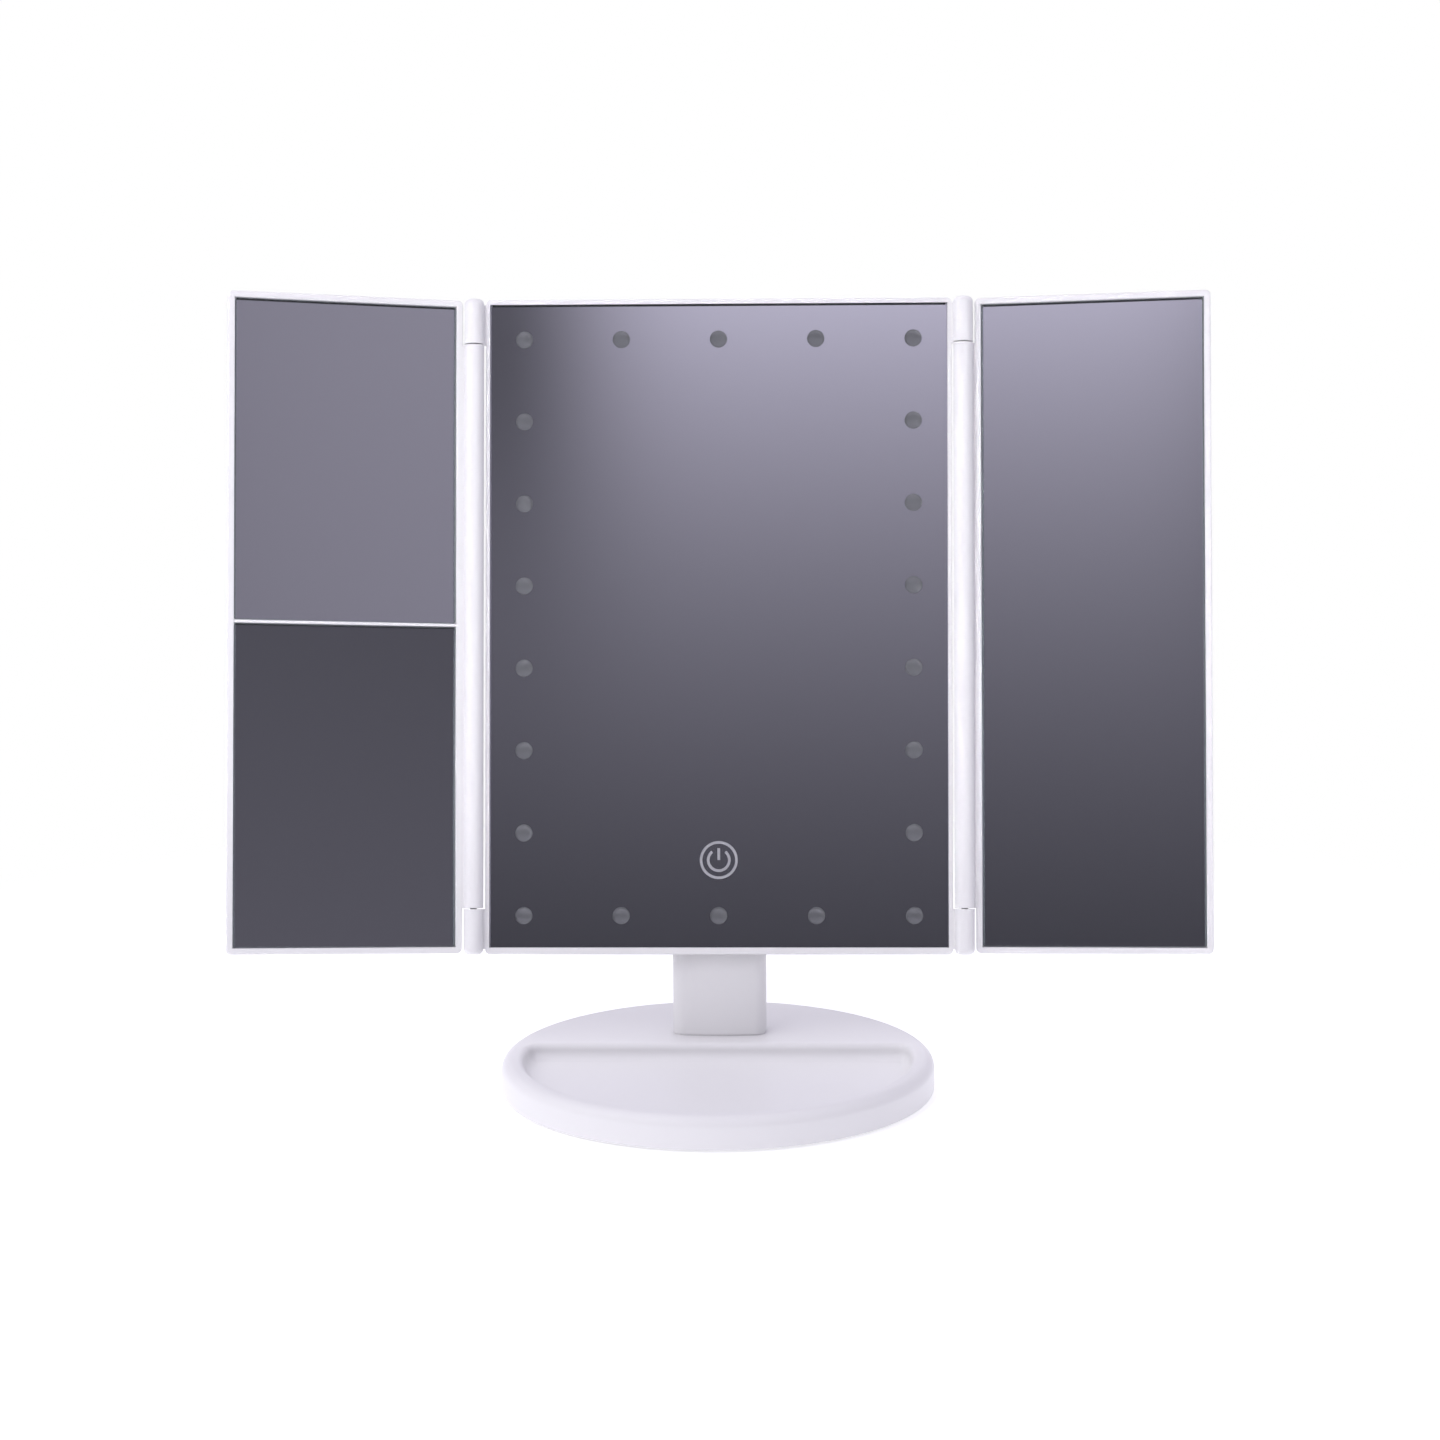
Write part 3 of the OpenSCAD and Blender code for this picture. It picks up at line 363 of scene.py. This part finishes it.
def tray_outline(inset, turn):
    """Distance from the middle to the tray's wall: a circle, cut off by a line, with round corners."""
    radius, back = TRAY_R - inset, TRAY_BACK - inset
    corner = np.maximum(TRAY_CORNER - inset, LEAST_CORNER)
    corner_y = back - corner
    corner_x = np.sqrt((radius - corner) ** 2 - corner_y**2)
    up = np.arctan2(np.sin(turn), np.abs(np.cos(turn)))
    toward = corner_x * np.cos(up) + corner_y * np.sin(up)
    round_corner = toward + np.sqrt(np.maximum(toward**2 - corner_x**2 - corner_y**2 + corner**2, 0))
    line = back / np.maximum(np.sin(up), NEAR_LEVEL)
    wall = np.where(up < np.arctan2(back, corner_x), round_corner, line)
    return np.where(up < np.arctan2(corner_y, corner_x), radius, wall)


def polar_loops(distance, height, turn):
    """Loops about the upright axis: one distance for each angle, or for each row and angle."""
    distance, height = np.broadcast_arrays(distance, height)
    return np.stack([distance * np.cos(turn), distance * np.sin(turn), height], -1)


turn = np.linspace(0, 2 * np.pi, BASE_POINTS, endpoint=False)[None]
under = profile(
    arc(TRAY_FILLET, TRAY_FLOOR + TRAY_FILLET, TRAY_FILLET + TRAY_WALL, -90, -180),
    (-TRAY_WALL, BASE_H - BASE_WALL),
)
skirt = profile(
    (BASE_R - BASE_WALL, BASE_H - BASE_WALL),
    (BASE_R - BASE_WALL, SKIRT_Z),
    arc(BASE_R - SKIRT_EDGE, SKIRT_Z + SKIRT_EDGE, SKIRT_EDGE, -90, 0, 3),
    arc(BASE_R - BASE_EDGE, BASE_H - BASE_EDGE, BASE_EDGE, 0, 90, 14),
)
bowl = profile(
    arc(-TRAY_LIP, BASE_H - TRAY_LIP, TRAY_LIP, 90, 0, 8),
    arc(TRAY_FILLET, TRAY_FLOOR + TRAY_FILLET, TRAY_FILLET, 180, 270, 12),
    (TRAY_FILLET + TRAY_FLAT, TRAY_FLOOR),
)
loops = np.concatenate(
    [
        polar_loops(tray_outline(under[:, :1], turn), under[:, 1:], turn),
        polar_loops(skirt[:, :1] + 0 * turn, skirt[:, 1:], turn),
        polar_loops(tray_outline(bowl[:, :1], turn), bowl[:, 1:], turn),
    ]
)
piece("base_tray", [skin(loops)], "base", ["base_shell"], [white_plastic])


# ---------------------------------------------------------------------------------------------
# Under the base: a closing plate held by four screws, a steel weight inside against tipping, and
# a rubber ring pressed into the plate's groove, which is all that touches the table.


def assign(material, *nodes):
    """Gives a finish to CAD nodes that keep their own shape."""
    for node in nodes:
        materials = frame["nodes"][node].data.materials
        materials.clear()
        materials.append(material)


SCRATCHES = (9000, 900, 2500)  # in a metre along X, Y and Z


def brushed_steel(name, colour, roughness, scratch=0.12):
    """Machined steel: fine scratches that vary its gloss, with a faint bump."""
    made, look = finish(name, Base_Color=(*colour, 1.0), Metallic=1.0)
    place = look.node("ShaderNodeTexCoord", output="Object")
    stretched = look.node("ShaderNodeMapping", inputs={"Vector": place, "Scale": SCRATCHES})
    lines = look.node("ShaderNodeTexNoise", inputs={"Vector": stretched, "Scale": 1.0, "Detail": 3.0})
    drive(look, Roughness=roughness + scratch * (lines - 0.5))
    relief(look, 0.2, 0.01, lines)
    return made


def turned(outline, at=(0, 0, 0), axes=(0, 1, 2), steps=64, ring=False):
    """Turns a profile of (radius, place along the axis) about the last of the axes, through at."""
    turn = np.linspace(0, 2 * np.pi, steps, endpoint=False)
    loops = np.empty((len(outline), steps, 3))
    loops[:, :, axes[0]] = outline[:, :1] * np.cos(turn)
    loops[:, :, axes[1]] = outline[:, :1] * np.sin(turn)
    loops[:, :, axes[2]] = outline[:, 1:]
    return skin(loops + np.asarray(at), ring)


foot_rubber, look = finish("foot_rubber", Base_Color=(0.06, 0.06, 0.062, 1.0), Specular_IOR_Level=0.3)
gloss(look, 0.72, 0.8, 0.2)
relief(look, 0.5, 0.03, speckle(look, 0.5))
steel = brushed_steel("steel", (0.62, 0.61, 0.60), 0.3)
screw_steel = brushed_steel("screw_steel", (0.55, 0.55, 0.56), 0.26, 0.08)
plate_plastic = moulded("plate_plastic", (0.74, 0.73, 0.76), 0.5, 0.3, 0.03)

low, high = inner_box("foot_ring")
FOOT_WIDTH, FOOT_EDGE = 6.0, 0.4
FOOT_OUT, FOOT_IN, FOOT_TOP = high[0], high[0] - FOOT_WIDTH, high[2]
foot = profile(
    (FOOT_IN, FOOT_TOP),
    arc(FOOT_IN + FOOT_EDGE, FOOT_EDGE, FOOT_EDGE, 180, 270, 4),
    arc(FOOT_OUT - FOOT_EDGE, FOOT_EDGE, FOOT_EDGE, -90, 0, 4),
    (FOOT_OUT, FOOT_TOP),
)
piece("foot_pad", [turned(foot, steps=160, ring=True)], "base", ["foot_ring"], [foot_rubber])
assign(plate_plastic, "base_bottom")
assign(steel, "base_weight", "tilt_shaft", "hinge_pins")
assign(screw_steel, "base_screws", "stem_screws", "cover_screws")


# ---------------------------------------------------------------------------------------------
# Stem. A hollow white moulding with round upright edges and a slightly bulged front. It stands on
# the base over a fine shadow line, and its top is the hinge barrel with two friction bushes.

low, high = inner_box("stem_shell")
STEM_X, STEM_FRONT, STEM_Z = high[0], low[1], low[2]
STEM_DEPTH, STEM_R, STEM_BULGE = 16.0, 4.5, 200.0
SEAM_H, SEAM_IN, SEAM_EDGE = 0.5, 0.4, 0.3
STEM_Y = STEM_FRONT + STEM_DEPTH / 2
STEM_BARREL_R, BUSH_R, COLUMN_EDGE = 7.5, 3.6, 0.5
COVER_SUNK, COVER_EDGE, COVER_CORNER = 0.25, 0.3, 1.0
SIDE_POINTS = 10
JOINTS = {joint["name"]: joint for joint in frame["joints"]}
tilt_y, tilt_z = (value / MM for value in JOINTS["head_tilt"]["pos_m"][1:])


def rounded_outline(box, inset, corner, steps=8, sides=0):
    """Closed outlines of a rectangle with round corners, one for each inset, and points on its sides."""
    x0, x1, y0, y1 = box
    inset = np.asarray(inset, float)[:, None]
    radius = np.maximum(corner - inset, 0)
    turn = (np.arange(4)[:, None] * 90 + np.linspace(0, 90, steps + 1)).ravel()
    right, top = np.repeat([1, 0, 0, 1], steps + 1), np.repeat([1, 1, 0, 0], steps + 1)
    x = np.where(right, x1 - inset - radius, x0 + inset + radius) + radius * np.cos(np.radians(turn))
    y = np.where(top, y1 - inset - radius, y0 + inset + radius) + radius * np.sin(np.radians(turn))
    if sides:
        ends = np.arange(1, 5) * (steps + 1) - 1
        part = np.arange(1, sides + 1) / (sides + 1)
        for end in ends[::-1]:
            after = (end + 1) % len(turn)
            x = np.insert(x, [end + 1] * sides, x[:, [end]] + (x[:, [after]] - x[:, [end]]) * part, 1)
            y = np.insert(y, [end + 1] * sides, y[:, [end]] + (y[:, [after]] - y[:, [end]]) * part, 1)
    return x, y


def panel(box, corner, outline, axes=(0, 2, 1), steps=8, sides=0):
    """Carries a profile of (inset, depth) round a rectangle that lies across the last of the axes."""
    x, y = rounded_outline(box, outline[:, 0], corner, steps, sides)
    loops = np.empty((*x.shape, 3))
    loops[:, :, axes[0]], loops[:, :, axes[1]], loops[:, :, axes[2]] = x, y, outline[:, 1:]
    return skin(loops)


def soft_box(x, y, z, edge, corner=0.0, steps=4):
    """A block from its spans: round edges in front and behind, and corner rounds its other four."""
    outline = profile(
        arc(edge, y[0] + edge, edge, 270, 180, steps),
        arc(edge, y[1] - edge, edge, 180, 90, steps),
    )
    return panel((*x, *z), max(corner, edge), outline, steps=steps)


stem = profile(
    (SEAM_IN, STEM_Z),
    (SEAM_IN, STEM_Z + SEAM_H),
    arc(SEAM_EDGE, STEM_Z + SEAM_H + SEAM_EDGE, SEAM_EDGE, 270, 180, 3),
    arc(COLUMN_EDGE, tilt_z - COLUMN_EDGE, COLUMN_EDGE, 180, 90, 6),
)
stem_box = (-STEM_X, STEM_X, STEM_FRONT, STEM_FRONT + STEM_DEPTH - COVER_SUNK)
points, faces, _ = panel(stem_box, STEM_R, stem, axes=(0, 1, 2), sides=SIDE_POINTS)
forward = np.clip((STEM_Y - points[:, 1]) / (STEM_DEPTH / 2), 0, 1)
points[:, 1] += forward * points[:, 0] ** 2 / STEM_BULGE
barrel_end = arc(STEM_BARREL_R - COLUMN_EDGE, -STEM_X + COLUMN_EDGE, COLUMN_EDGE, -90, 0, 4)
half_barrel = profile((BUSH_R, -STEM_X), barrel_end)
barrel = np.concatenate([half_barrel, half_barrel[::-1] * (1, -1)])
barrel = turned(barrel, (0, tilt_y, tilt_z), (1, 2, 0), ring=True)
piece("stem", [(points, faces, 0), barrel], "base", ["stem_shell"], [white_plastic])

low, high = inner_box("stem_rear_cover")
cover = soft_box(*zip(low, high), COVER_EDGE, COVER_CORNER)
piece("stem_cover", [cover], "base", ["stem_rear_cover"], [white_plastic])

bush_plastic = moulded("bush_plastic", (0.55, 0.42, 0.2), 0.5)
assign(bush_plastic, "tilt_bushes")


# ---------------------------------------------------------------------------------------------
# Head frame. The white front moulding: a thin lip round the glass, side walls, the ears of the
# tilt shaft and the four end knuckles of the wing hinges.

slant = JOINTS["left_wing_hinge"]["axis"]
HEAD = np.eye(4)  # the head's own frame, on the tilt axis and tipped back as at rest
HEAD[1:3, 1:3] = [[slant[2], slant[1]], [-slant[1], slant[2]]]
HEAD[1:3, 3] = tilt_y, tilt_z
LIP_EDGE = 0.25


def softened(name, node, body, material, edge, even=True):
    """A copy of a CAD node with its doubles merged, its facets smoothed and its edges rounded."""
    mesh = frame["nodes"][node].data.copy()
    mesh.materials.clear()
    mesh.materials.append(material)
    return dress(name, mesh, body, [node], 0, edge, even)


softened("head_frame", "centre_frame", "head", white_plastic, LIP_EDGE)


# ---------------------------------------------------------------------------------------------
# Centre mirror. A clear pane with the mirror layer on its back; 22 round windows and the power
# sign are left clear in that layer. A dark strip along the top edge is painted shade: the shadow under
# the lip.

MIRROR_TINT = (0.89, 0.88, 0.97, 1.0)
PANE_ARRIS, PANE_GAP = 0.2, 0.02  # ground edges; a hair of air, so that two faces never coincide
# the painted shade line under the top lip: its height, inset from each side, gaps to pane and glass, and
# edge
SHADE_LINE_H, SHADE_LINE_IN, SHADE_LINE_GAP, SHADE_LINE_EDGE = 0.9, 1.0, 0.002, 0.001


def silvered(name, tint):
    """A mirror layer behind glass: polished, with a very faint haze in places."""
    made, look = finish(name, Base_Color=tint, Metallic=1.0)
    drive(look, Roughness=0.012 * speckle(look, 60.0))
    return made


mirror_layer = silvered("mirror_layer", MIRROR_TINT)
clear_glass, _ = finish(
    "clear_glass", Base_Color=(0.02, 0.03, 0.028, 1.0), Roughness=0.0, IOR=1.5, Alpha=0.06
)
layer = softened("centre_mirror", "centre_silvering", "head", mirror_layer, 0.0, False)
layer.data.shade_flat()
# painted shade: a near-black finish for the strip under each mirror's top lip, standing in for the lip's
# shadow
painted_shade_finish = moulded("painted_shade_line", (0.03, 0.03, 0.035), 0.5)
low, high = inner_box("centre_glass", HEAD)
pane_back = high[1] - PANE_GAP
pane = soft_box((low[0], high[0]), (low[1], pane_back), (low[2], high[2]), PANE_ARRIS)
top = inner_box("centre_silvering", HEAD)[1][2]
shade_line_x, shade_line_y = (low[0] + SHADE_LINE_IN, high[0] - SHADE_LINE_IN), (pane_back + SHADE_LINE_GAP, high[1] - SHADE_LINE_GAP)
# painted shade: a dark strip behind the pane along its top edge, where the frame's lip casts shadow
points, faces, _ = soft_box(shade_line_x, shade_line_y, (top - SHADE_LINE_H, top), SHADE_LINE_EDGE)
parts = [pane, (points, faces, 1)]
finishes = [clear_glass, painted_shade_finish]
piece("centre_pane", parts, "head", ["centre_glass"], finishes, HEAD, sharp=10, even=False)


# ---------------------------------------------------------------------------------------------
# Lights. A baffle with one well for each of 22 LEDs on a green board. Each LED is a white ceramic
# body with a domed yellow phosphor window, behind a frosted lens in the mirror's window.

well_plastic = moulded("well_plastic", (0.42, 0.43, 0.45), 0.55)
BOARD_GREENS = ((0.008, 0.07, 0.02, 1), (0.02, 0.13, 0.04, 1))
board_green, look = finish("board_green")
weave = speckle(look, 1.5)
drive(look, Base_Color=look.node("ShaderNodeValToRGB", {"ends": BOARD_GREENS}, {0: weave}))
drive(look, Roughness=0.42 + 0.1 * (weave - 0.5))
led_body = moulded("led_body", (0.8, 0.8, 0.78), 0.4)
led_phosphor, look = finish("led_phosphor", Base_Color=(0.80, 0.66, 0.16, 1.0), Coat_Weight=0.3)
gloss(look, 0.35, 0.4)
assign(well_plastic, "light_baffle")
assign(board_green, "led_board", "control_board")

LED_HALF, LED_H, LED_EDGE, LED_CORNER = 1.4, 0.7, 0.1, 0.25
DOME_R, DOME_SUNK, DOME_LIP, DOME_TOP_R, DOME_FLATTENED = 1.1, 0.05, 0.02, 0.9, 0.25
corners = node_points("leds", HEAD)
led_front = corners[:, 1].min()
columns, rows = (np.unique(np.round(corners[:, axis], 2)) for axis in (0, 2))
centres_x = (columns[::2] + columns[1::2]) / 2
centres_z = (rows[::2] + rows[1::2]) / 2
outer_x, outer_z = (centres_x[0], centres_x[-1]), (centres_z[0], centres_z[-1])
led_spots = [(x, z) for x in centres_x for z in centres_z if x in outer_x or z in outer_z]
dome_top = arc(0, DOME_LIP, DOME_TOP_R, 60, 90, 3) * (1, DOME_FLATTENED)
dome = turned(profile((DOME_R, -DOME_SUNK), (DOME_R, DOME_LIP), dome_top), axes=(0, 2, 1), steps=24)
body_y = (led_front, led_front + LED_H)
parts = []
for x, z in led_spots:
    body_x, body_z = (x - LED_HALF, x + LED_HALF), (z - LED_HALF, z + LED_HALF)
    parts.append(soft_box(body_x, body_y, body_z, LED_EDGE, LED_CORNER, steps=2))
    parts.append((dome[0] * (1, -1, 1) + (x, led_front, z), dome[1], 1))
piece("led_chips", parts, "head", ["leds"], [led_body, led_phosphor], HEAD)

LENS_R, LENS_DISH, LENS_WALL, LENS_LIP, LENS_LIFT = 3.12, 0.8, 0.25, 0.15, 0.02
lens_back, _ = inner_box("centre_silvering", HEAD)
lens = profile((LENS_R, LENS_LIFT), arc(0, 0, 1.0, 0, 90, 10) * (LENS_R - LENS_LIP, LENS_DISH))
lens = np.concatenate([lens, lens[::-1] + (0, LENS_WALL)])
lens_frost, look = finish("lens_frost", Base_Color=(0.20, 0.204, 0.218, 1.0), Metallic=0.3)
gloss(look, 0.3, 0.8)
lenses = [turned(lens, (x, lens_back[1], z), (0, 2, 1), 40, ring=True) for x, z in led_spots]
piece("window_lenses", lenses, "head", [], [lens_frost], HEAD)

diffuser, look = finish("diffuser", Base_Color=(0.50, 0.50, 0.53, 1.0))
gloss(look, 0.6, 0.6)
copper = brushed_steel("copper", (0.72, 0.35, 0.2), 0.35)
assign(diffuser, "icon_diffuser")
assign(copper, "touch_pad")


# ---------------------------------------------------------------------------------------------
# Back of the head. A white cover with round rear edges, held by six screws in wells. It has the
# battery box behind a lift-off door, the slide switch and, in its lower wall, the charging socket.

PLASTIC_EDGE = 0.3
softened("rear_cover", "back_cover", "head", white_plastic, PLASTIC_EDGE)
softened("battery_lid", "battery_door", "battery_door", white_plastic, PLASTIC_EDGE)
black_plastic = moulded("black_plastic", (0.025, 0.025, 0.028), 0.45)
assign(black_plastic, "switch_body")
assign(steel, "usb_socket")

KNOB_EDGE, KNOB_CORNER = 0.25, 0.4
RIBS, RIB_H, RIB_HALF, RIB_EDGE, RIB_SHORT, FIRST_RIB = 4, 0.35, 0.2, 0.15, 0.3, 0.6
low, high = inner_box("switch_knob", HEAD)
knob_y = (low[1], high[1] - RIB_H)
knob = [soft_box((low[0], high[0]), knob_y, (low[2], high[2]), KNOB_EDGE, KNOB_CORNER)]
rib_y, rib_z = (high[1] - 2 * RIB_H, high[1]), (low[2] + RIB_SHORT, high[2] - RIB_SHORT)
for rib in np.linspace(low[0] + FIRST_RIB, high[0] - FIRST_RIB, RIBS):
    knob.append(soft_box((rib - RIB_HALF, rib + RIB_HALF), rib_y, rib_z, RIB_EDGE, RIB_EDGE))
piece("switch_slider", knob, "switch_knob", ["switch_knob"], [black_plastic], HEAD)

CELL_R, WRAP_EDGE, WRAP_LAP, WRAP_SUNK = 5.25, 0.5, 1.2, 0.15
NUB_R, NUB_H, NUB_EDGE = 1.9, 0.8, 0.3
CAN_FOOT_IN, CAN_TOP_IN, CAN_CROWN = 1.4, 1.3, 0.02
low, high = inner_box("batteries", HEAD)
cell_count = round((high[0] - low[0]) / (2 * CELL_R))
cell_length = high[2] - low[2]
can_length = cell_length - NUB_H
cell_wrap, look = finish("cell_wrap", Coat_Weight=0.4, Base_Color=(0.03, 0.10, 0.20, 1.0))
gloss(look, 0.3, 2.0)
wrap = profile(
    (CELL_R - WRAP_LAP, WRAP_SUNK),
    arc(CELL_R - WRAP_EDGE, WRAP_EDGE, WRAP_EDGE, -90, 0, 4),
    arc(CELL_R - WRAP_EDGE, can_length - WRAP_EDGE, WRAP_EDGE, 0, 90, 4),
    (CELL_R - WRAP_LAP, can_length - WRAP_SUNK),
)
can = profile(
    (CELL_R - CAN_FOOT_IN, 0),
    (CELL_R - CAN_TOP_IN, can_length - CAN_CROWN),
    (NUB_R + NUB_EDGE, can_length),
    arc(NUB_R - NUB_EDGE, cell_length - NUB_EDGE, NUB_EDGE, 0, 90, 3),
)
cells = []
for x in np.linspace(low[0] + CELL_R, high[0] - CELL_R, cell_count):
    at = (x, (low[1] + high[1]) / 2, low[2])
    cells += [turned(wrap, at, steps=48), (*turned(can, at, steps=48)[:2], 1)]
piece("cells", cells, "head", ["batteries"], [cell_wrap, steel], HEAD)
assign(steel, "battery_contacts")
lead_insulation, look = finish("lead_insulation", Base_Color=(0.35, 0.02, 0.02, 1.0))
gloss(look, 0.45, 1.0)
assign(lead_insulation, "battery_leads")


# ---------------------------------------------------------------------------------------------
# Wings. Each is a white moulded frame with a long hinge barrel on two steel pins. The left one
# has two magnifying mirrors above each other with a thin bar between; the right one is plain.


def wing_place(hinge, side):
    """The frame that a wing is drawn in: flat from its hinge axis to +X, face towards -Y."""
    joint = JOINTS[hinge]
    at = np.linalg.inv(HEAD) @ np.r_[np.array(joint["pos_m"]) / MM, 1.0]
    rest = math.radians(side * joint["range_deg"][0])
    turned_out = np.eye(4)
    turned_out[:2, :2] = [[math.cos(rest), -math.sin(rest)], [math.sin(rest), math.cos(rest)]]
    turned_out[:3, 3] = at[:3]
    return HEAD @ turned_out @ np.diag([side, 1.0, 1.0, 1.0])


LEFT, RIGHT = wing_place("left_wing_hinge", -1), wing_place("right_wing_hinge", 1)
WING_T, WING_WALL, WING_BORDER, WING_CORNER = 8.0, 1.6, 2.3, 2.0
FRONT_EDGE, REAR_EDGE, LIP_ROUND = 0.5, 1.8, 0.25
KNUCKLE_R, KNUCKLE_L, PIN_R, BARREL_EDGE, BARREL_GAP = 3.6, 16.5, 1.3, 0.35, 0.4
WING_IN = KNUCKLE_R + BARREL_GAP
HINGE_OUT, LEDGE, SEAT_GAP, TILE_T, TILE_SUNK, PAD_T = 1.0, 2.0, 0.15, 1.5, 0.5, 0.9
BAR_LAP, BAR_SUNK, BAR_EDGE = 0.5, 1.0, 0.3
WEB_CLEAR, WEB_LAP = 0.5, 1.0


def wing_frame(shell, place, tiles):
    """Parts of a wing: its dished frame, the bars between its mirrors, its hinge barrel and web."""
    low, high = inner_box(shell, place)
    box = (WING_IN, high[0], low[2], high[2])
    front, rear = HINGE_OUT, HINGE_OUT + WING_T
    seat = front + TILE_SUNK + TILE_T + PAD_T
    outline = profile(
        (WING_BORDER + SEAT_GAP + LEDGE, rear - WING_WALL),
        (WING_BORDER + SEAT_GAP + LEDGE, seat),
        (WING_BORDER, seat),
        arc(WING_BORDER - LIP_ROUND, front + LIP_ROUND, LIP_ROUND, 0, -90, 4),
        arc(FRONT_EDGE, front + FRONT_EDGE, FRONT_EDGE, 270, 180, 6),
        arc(REAR_EDGE, rear - REAR_EDGE, REAR_EDGE, 180, 90, 8),
    )
    parts = [panel(box, WING_CORNER, outline)]
    ends = sorted(z for tile in tiles for z in tile)[1:-1]
    for below, above in zip(ends[::2], ends[1::2]):
        bar_x = (box[0] + WING_BORDER - BAR_LAP, box[1] - WING_BORDER + BAR_LAP)
        bar_z = (below + SEAT_GAP, above - SEAT_GAP)
        parts.append(soft_box(bar_x, (front, rear - BAR_SUNK), bar_z, BAR_EDGE, BAR_EDGE))
    z0, z1 = low[2] + KNUCKLE_L, high[2] - KNUCKLE_L
    tube = profile(
        (PIN_R, z0),
        arc(KNUCKLE_R - BARREL_EDGE, z0 + BARREL_EDGE, BARREL_EDGE, -90, 0, 4),
        arc(KNUCKLE_R - BARREL_EDGE, z1 - BARREL_EDGE, BARREL_EDGE, 0, 90, 4),
        (PIN_R, z1),
    )
    parts.append(turned(tube, ring=True))
    web_x = (PIN_R + WEB_CLEAR, WING_IN + WEB_LAP)
    parts.append(soft_box(web_x, (HINGE_OUT, KNUCKLE_R), (z0, z1), BARREL_EDGE, BARREL_EDGE))
    return parts


TILE_CORNER, TILE_BEVEL, TILE_SILVER, TILE_STEPS = 0.9, 0.35, 0.2, (28, 36)
TILE_RIM = TILE_CORNER + 0.5  # the outermost of the even steps across a tile


def from_edges(length, near, steps):
    """Places along a side: the near ones given from each end, and even steps between them."""
    near = np.asarray(near, float)
    between = np.linspace(near[-1], length - near[-1], steps + 1)[1:-1]
    return np.concatenate([near, between, length - near[::-1]])


def tile(node, place, curve, glass):
    """A tile's glass, or the mirror layer on its back, dished when a curve (a radius in mm) is given.

    The dish is (half the diagonal squared - distance from the middle squared) / (2 x curve). Loops
    run round the section in the Y-Z plane, front then back, and step along X. Near the two ends they
    grow shorter, which rounds the outline's corners. Finish 1 is on a pane's edges, and on the strip
    at the top of a mirror layer, where a dark finish is painted shade for the shadow under the lip."""
    low, high = inner_box(node, place)
    width, height = high[0] - low[0], high[2] - low[2]
    rounded = TILE_CORNER * (1 - np.cos(np.radians([0, 22, 45, 68, 90])))
    x = from_edges(width, [*rounded, TILE_RIM], TILE_STEPS[0])[:, None]
    side = np.minimum(x, width - x)
    cut = TILE_CORNER - np.sqrt(np.maximum(TILE_CORNER**2 - np.maximum(TILE_CORNER - side, 0) ** 2, 0))
    z = from_edges(1.0, [0, TILE_BEVEL / height, 2 * TILE_BEVEL / height], TILE_STEPS[1])[None]
    z = cut + (height - 2 * cut) * z
    x = x + 0 * z
    rim = np.minimum(np.minimum(x, width - x), np.minimum(z, height - z))
    bevel = np.maximum(TILE_BEVEL - rim, 0) if glass else 0.0
    away = (x - width / 2) ** 2 + (z - height / 2) ** 2
    dish = ((width / 2) ** 2 + (height / 2) ** 2 - away) / (2 * curve) if curve else 0 * away
    front = HINGE_OUT + TILE_SUNK
    back = front + TILE_T
    near, far = (front, back - TILE_SILVER - PANE_GAP) if glass else (back - TILE_SILVER, back)
    ahead = np.stack([low[0] + x, near + bevel + dish, low[2] + z], -1)
    behind = np.stack([low[0] + x, far + dish, low[2] + z], -1)[:, ::-1]
    points, faces, _ = skin(np.concatenate([ahead, behind], 1))
    up = z.shape[1]
    finishes = np.zeros((len(x) - 1, 2 * up), int)
    if glass:
        finishes[:, [0, up - 2, up - 1, -1]] = 1
        finishes[[0, 1, 2, -3, -2, -1]] = 1
    else:
        # painted shade: the two top rows on the front of a mirror layer take the dark finish, as the
        # lip's shadow
        finishes[:, up - 3 : up - 1] = 1
    return points, faces, np.r_[finishes.ravel(), 1, 1]


tiles = {}
for node, place in (("left_upper_mirror", LEFT), ("left_lower_mirror", LEFT), ("right_mirror", RIGHT)):
    low, high = inner_box(node, place)
    tiles[node] = (low[2], high[2])
left_parts = wing_frame("left_wing_shell", LEFT, [tiles["left_upper_mirror"], tiles["left_lower_mirror"]])
piece("left_wing", left_parts, "left_wing", ["left_wing_shell"], [white_plastic], LEFT)
right_parts = wing_frame("right_wing_shell", RIGHT, [tiles["right_mirror"]])
piece("right_wing", right_parts, "right_wing", ["right_wing_shell"], [white_plastic], RIGHT)

MAGNIFYING_TINT = (0.92, 0.91, 1.0, 1.0)
magnifying_mirror = silvered("magnifying_mirror", MAGNIFYING_TINT)
edge_glass, _ = finish(
    "edge_glass", Base_Color=(0.24, 0.27, 0.28, 1.0), Roughness=0.15, IOR=1.5, Alpha=0.5
)
for node, name, place, body, curve, silver in (
    ("left_upper_mirror", "upper_mirror", LEFT, "left_wing", 2500.0, magnifying_mirror),
    ("left_lower_mirror", "lower_mirror", LEFT, "left_wing", 1800.0, magnifying_mirror),
    ("right_mirror", "plain_mirror", RIGHT, "right_wing", 0.0, mirror_layer),
):
    layer, pane = tile(node, place, curve, False), tile(node, place, curve, True)
    # the mirror layer's second finish is the painted shade line along its top edge
    piece(name, [layer], body, [node], [silver, painted_shade_finish], place, even=False)
    piece(name + "_glass", [pane], body, [], [clear_glass, edge_glass], place, even=False)

pad_foam, look = finish("pad_foam", Base_Color=(0.1, 0.1, 0.105, 1.0))
gloss(look, 0.85, 0.6)
assign(pad_foam, "left_wing_pads", "right_wing_pads")
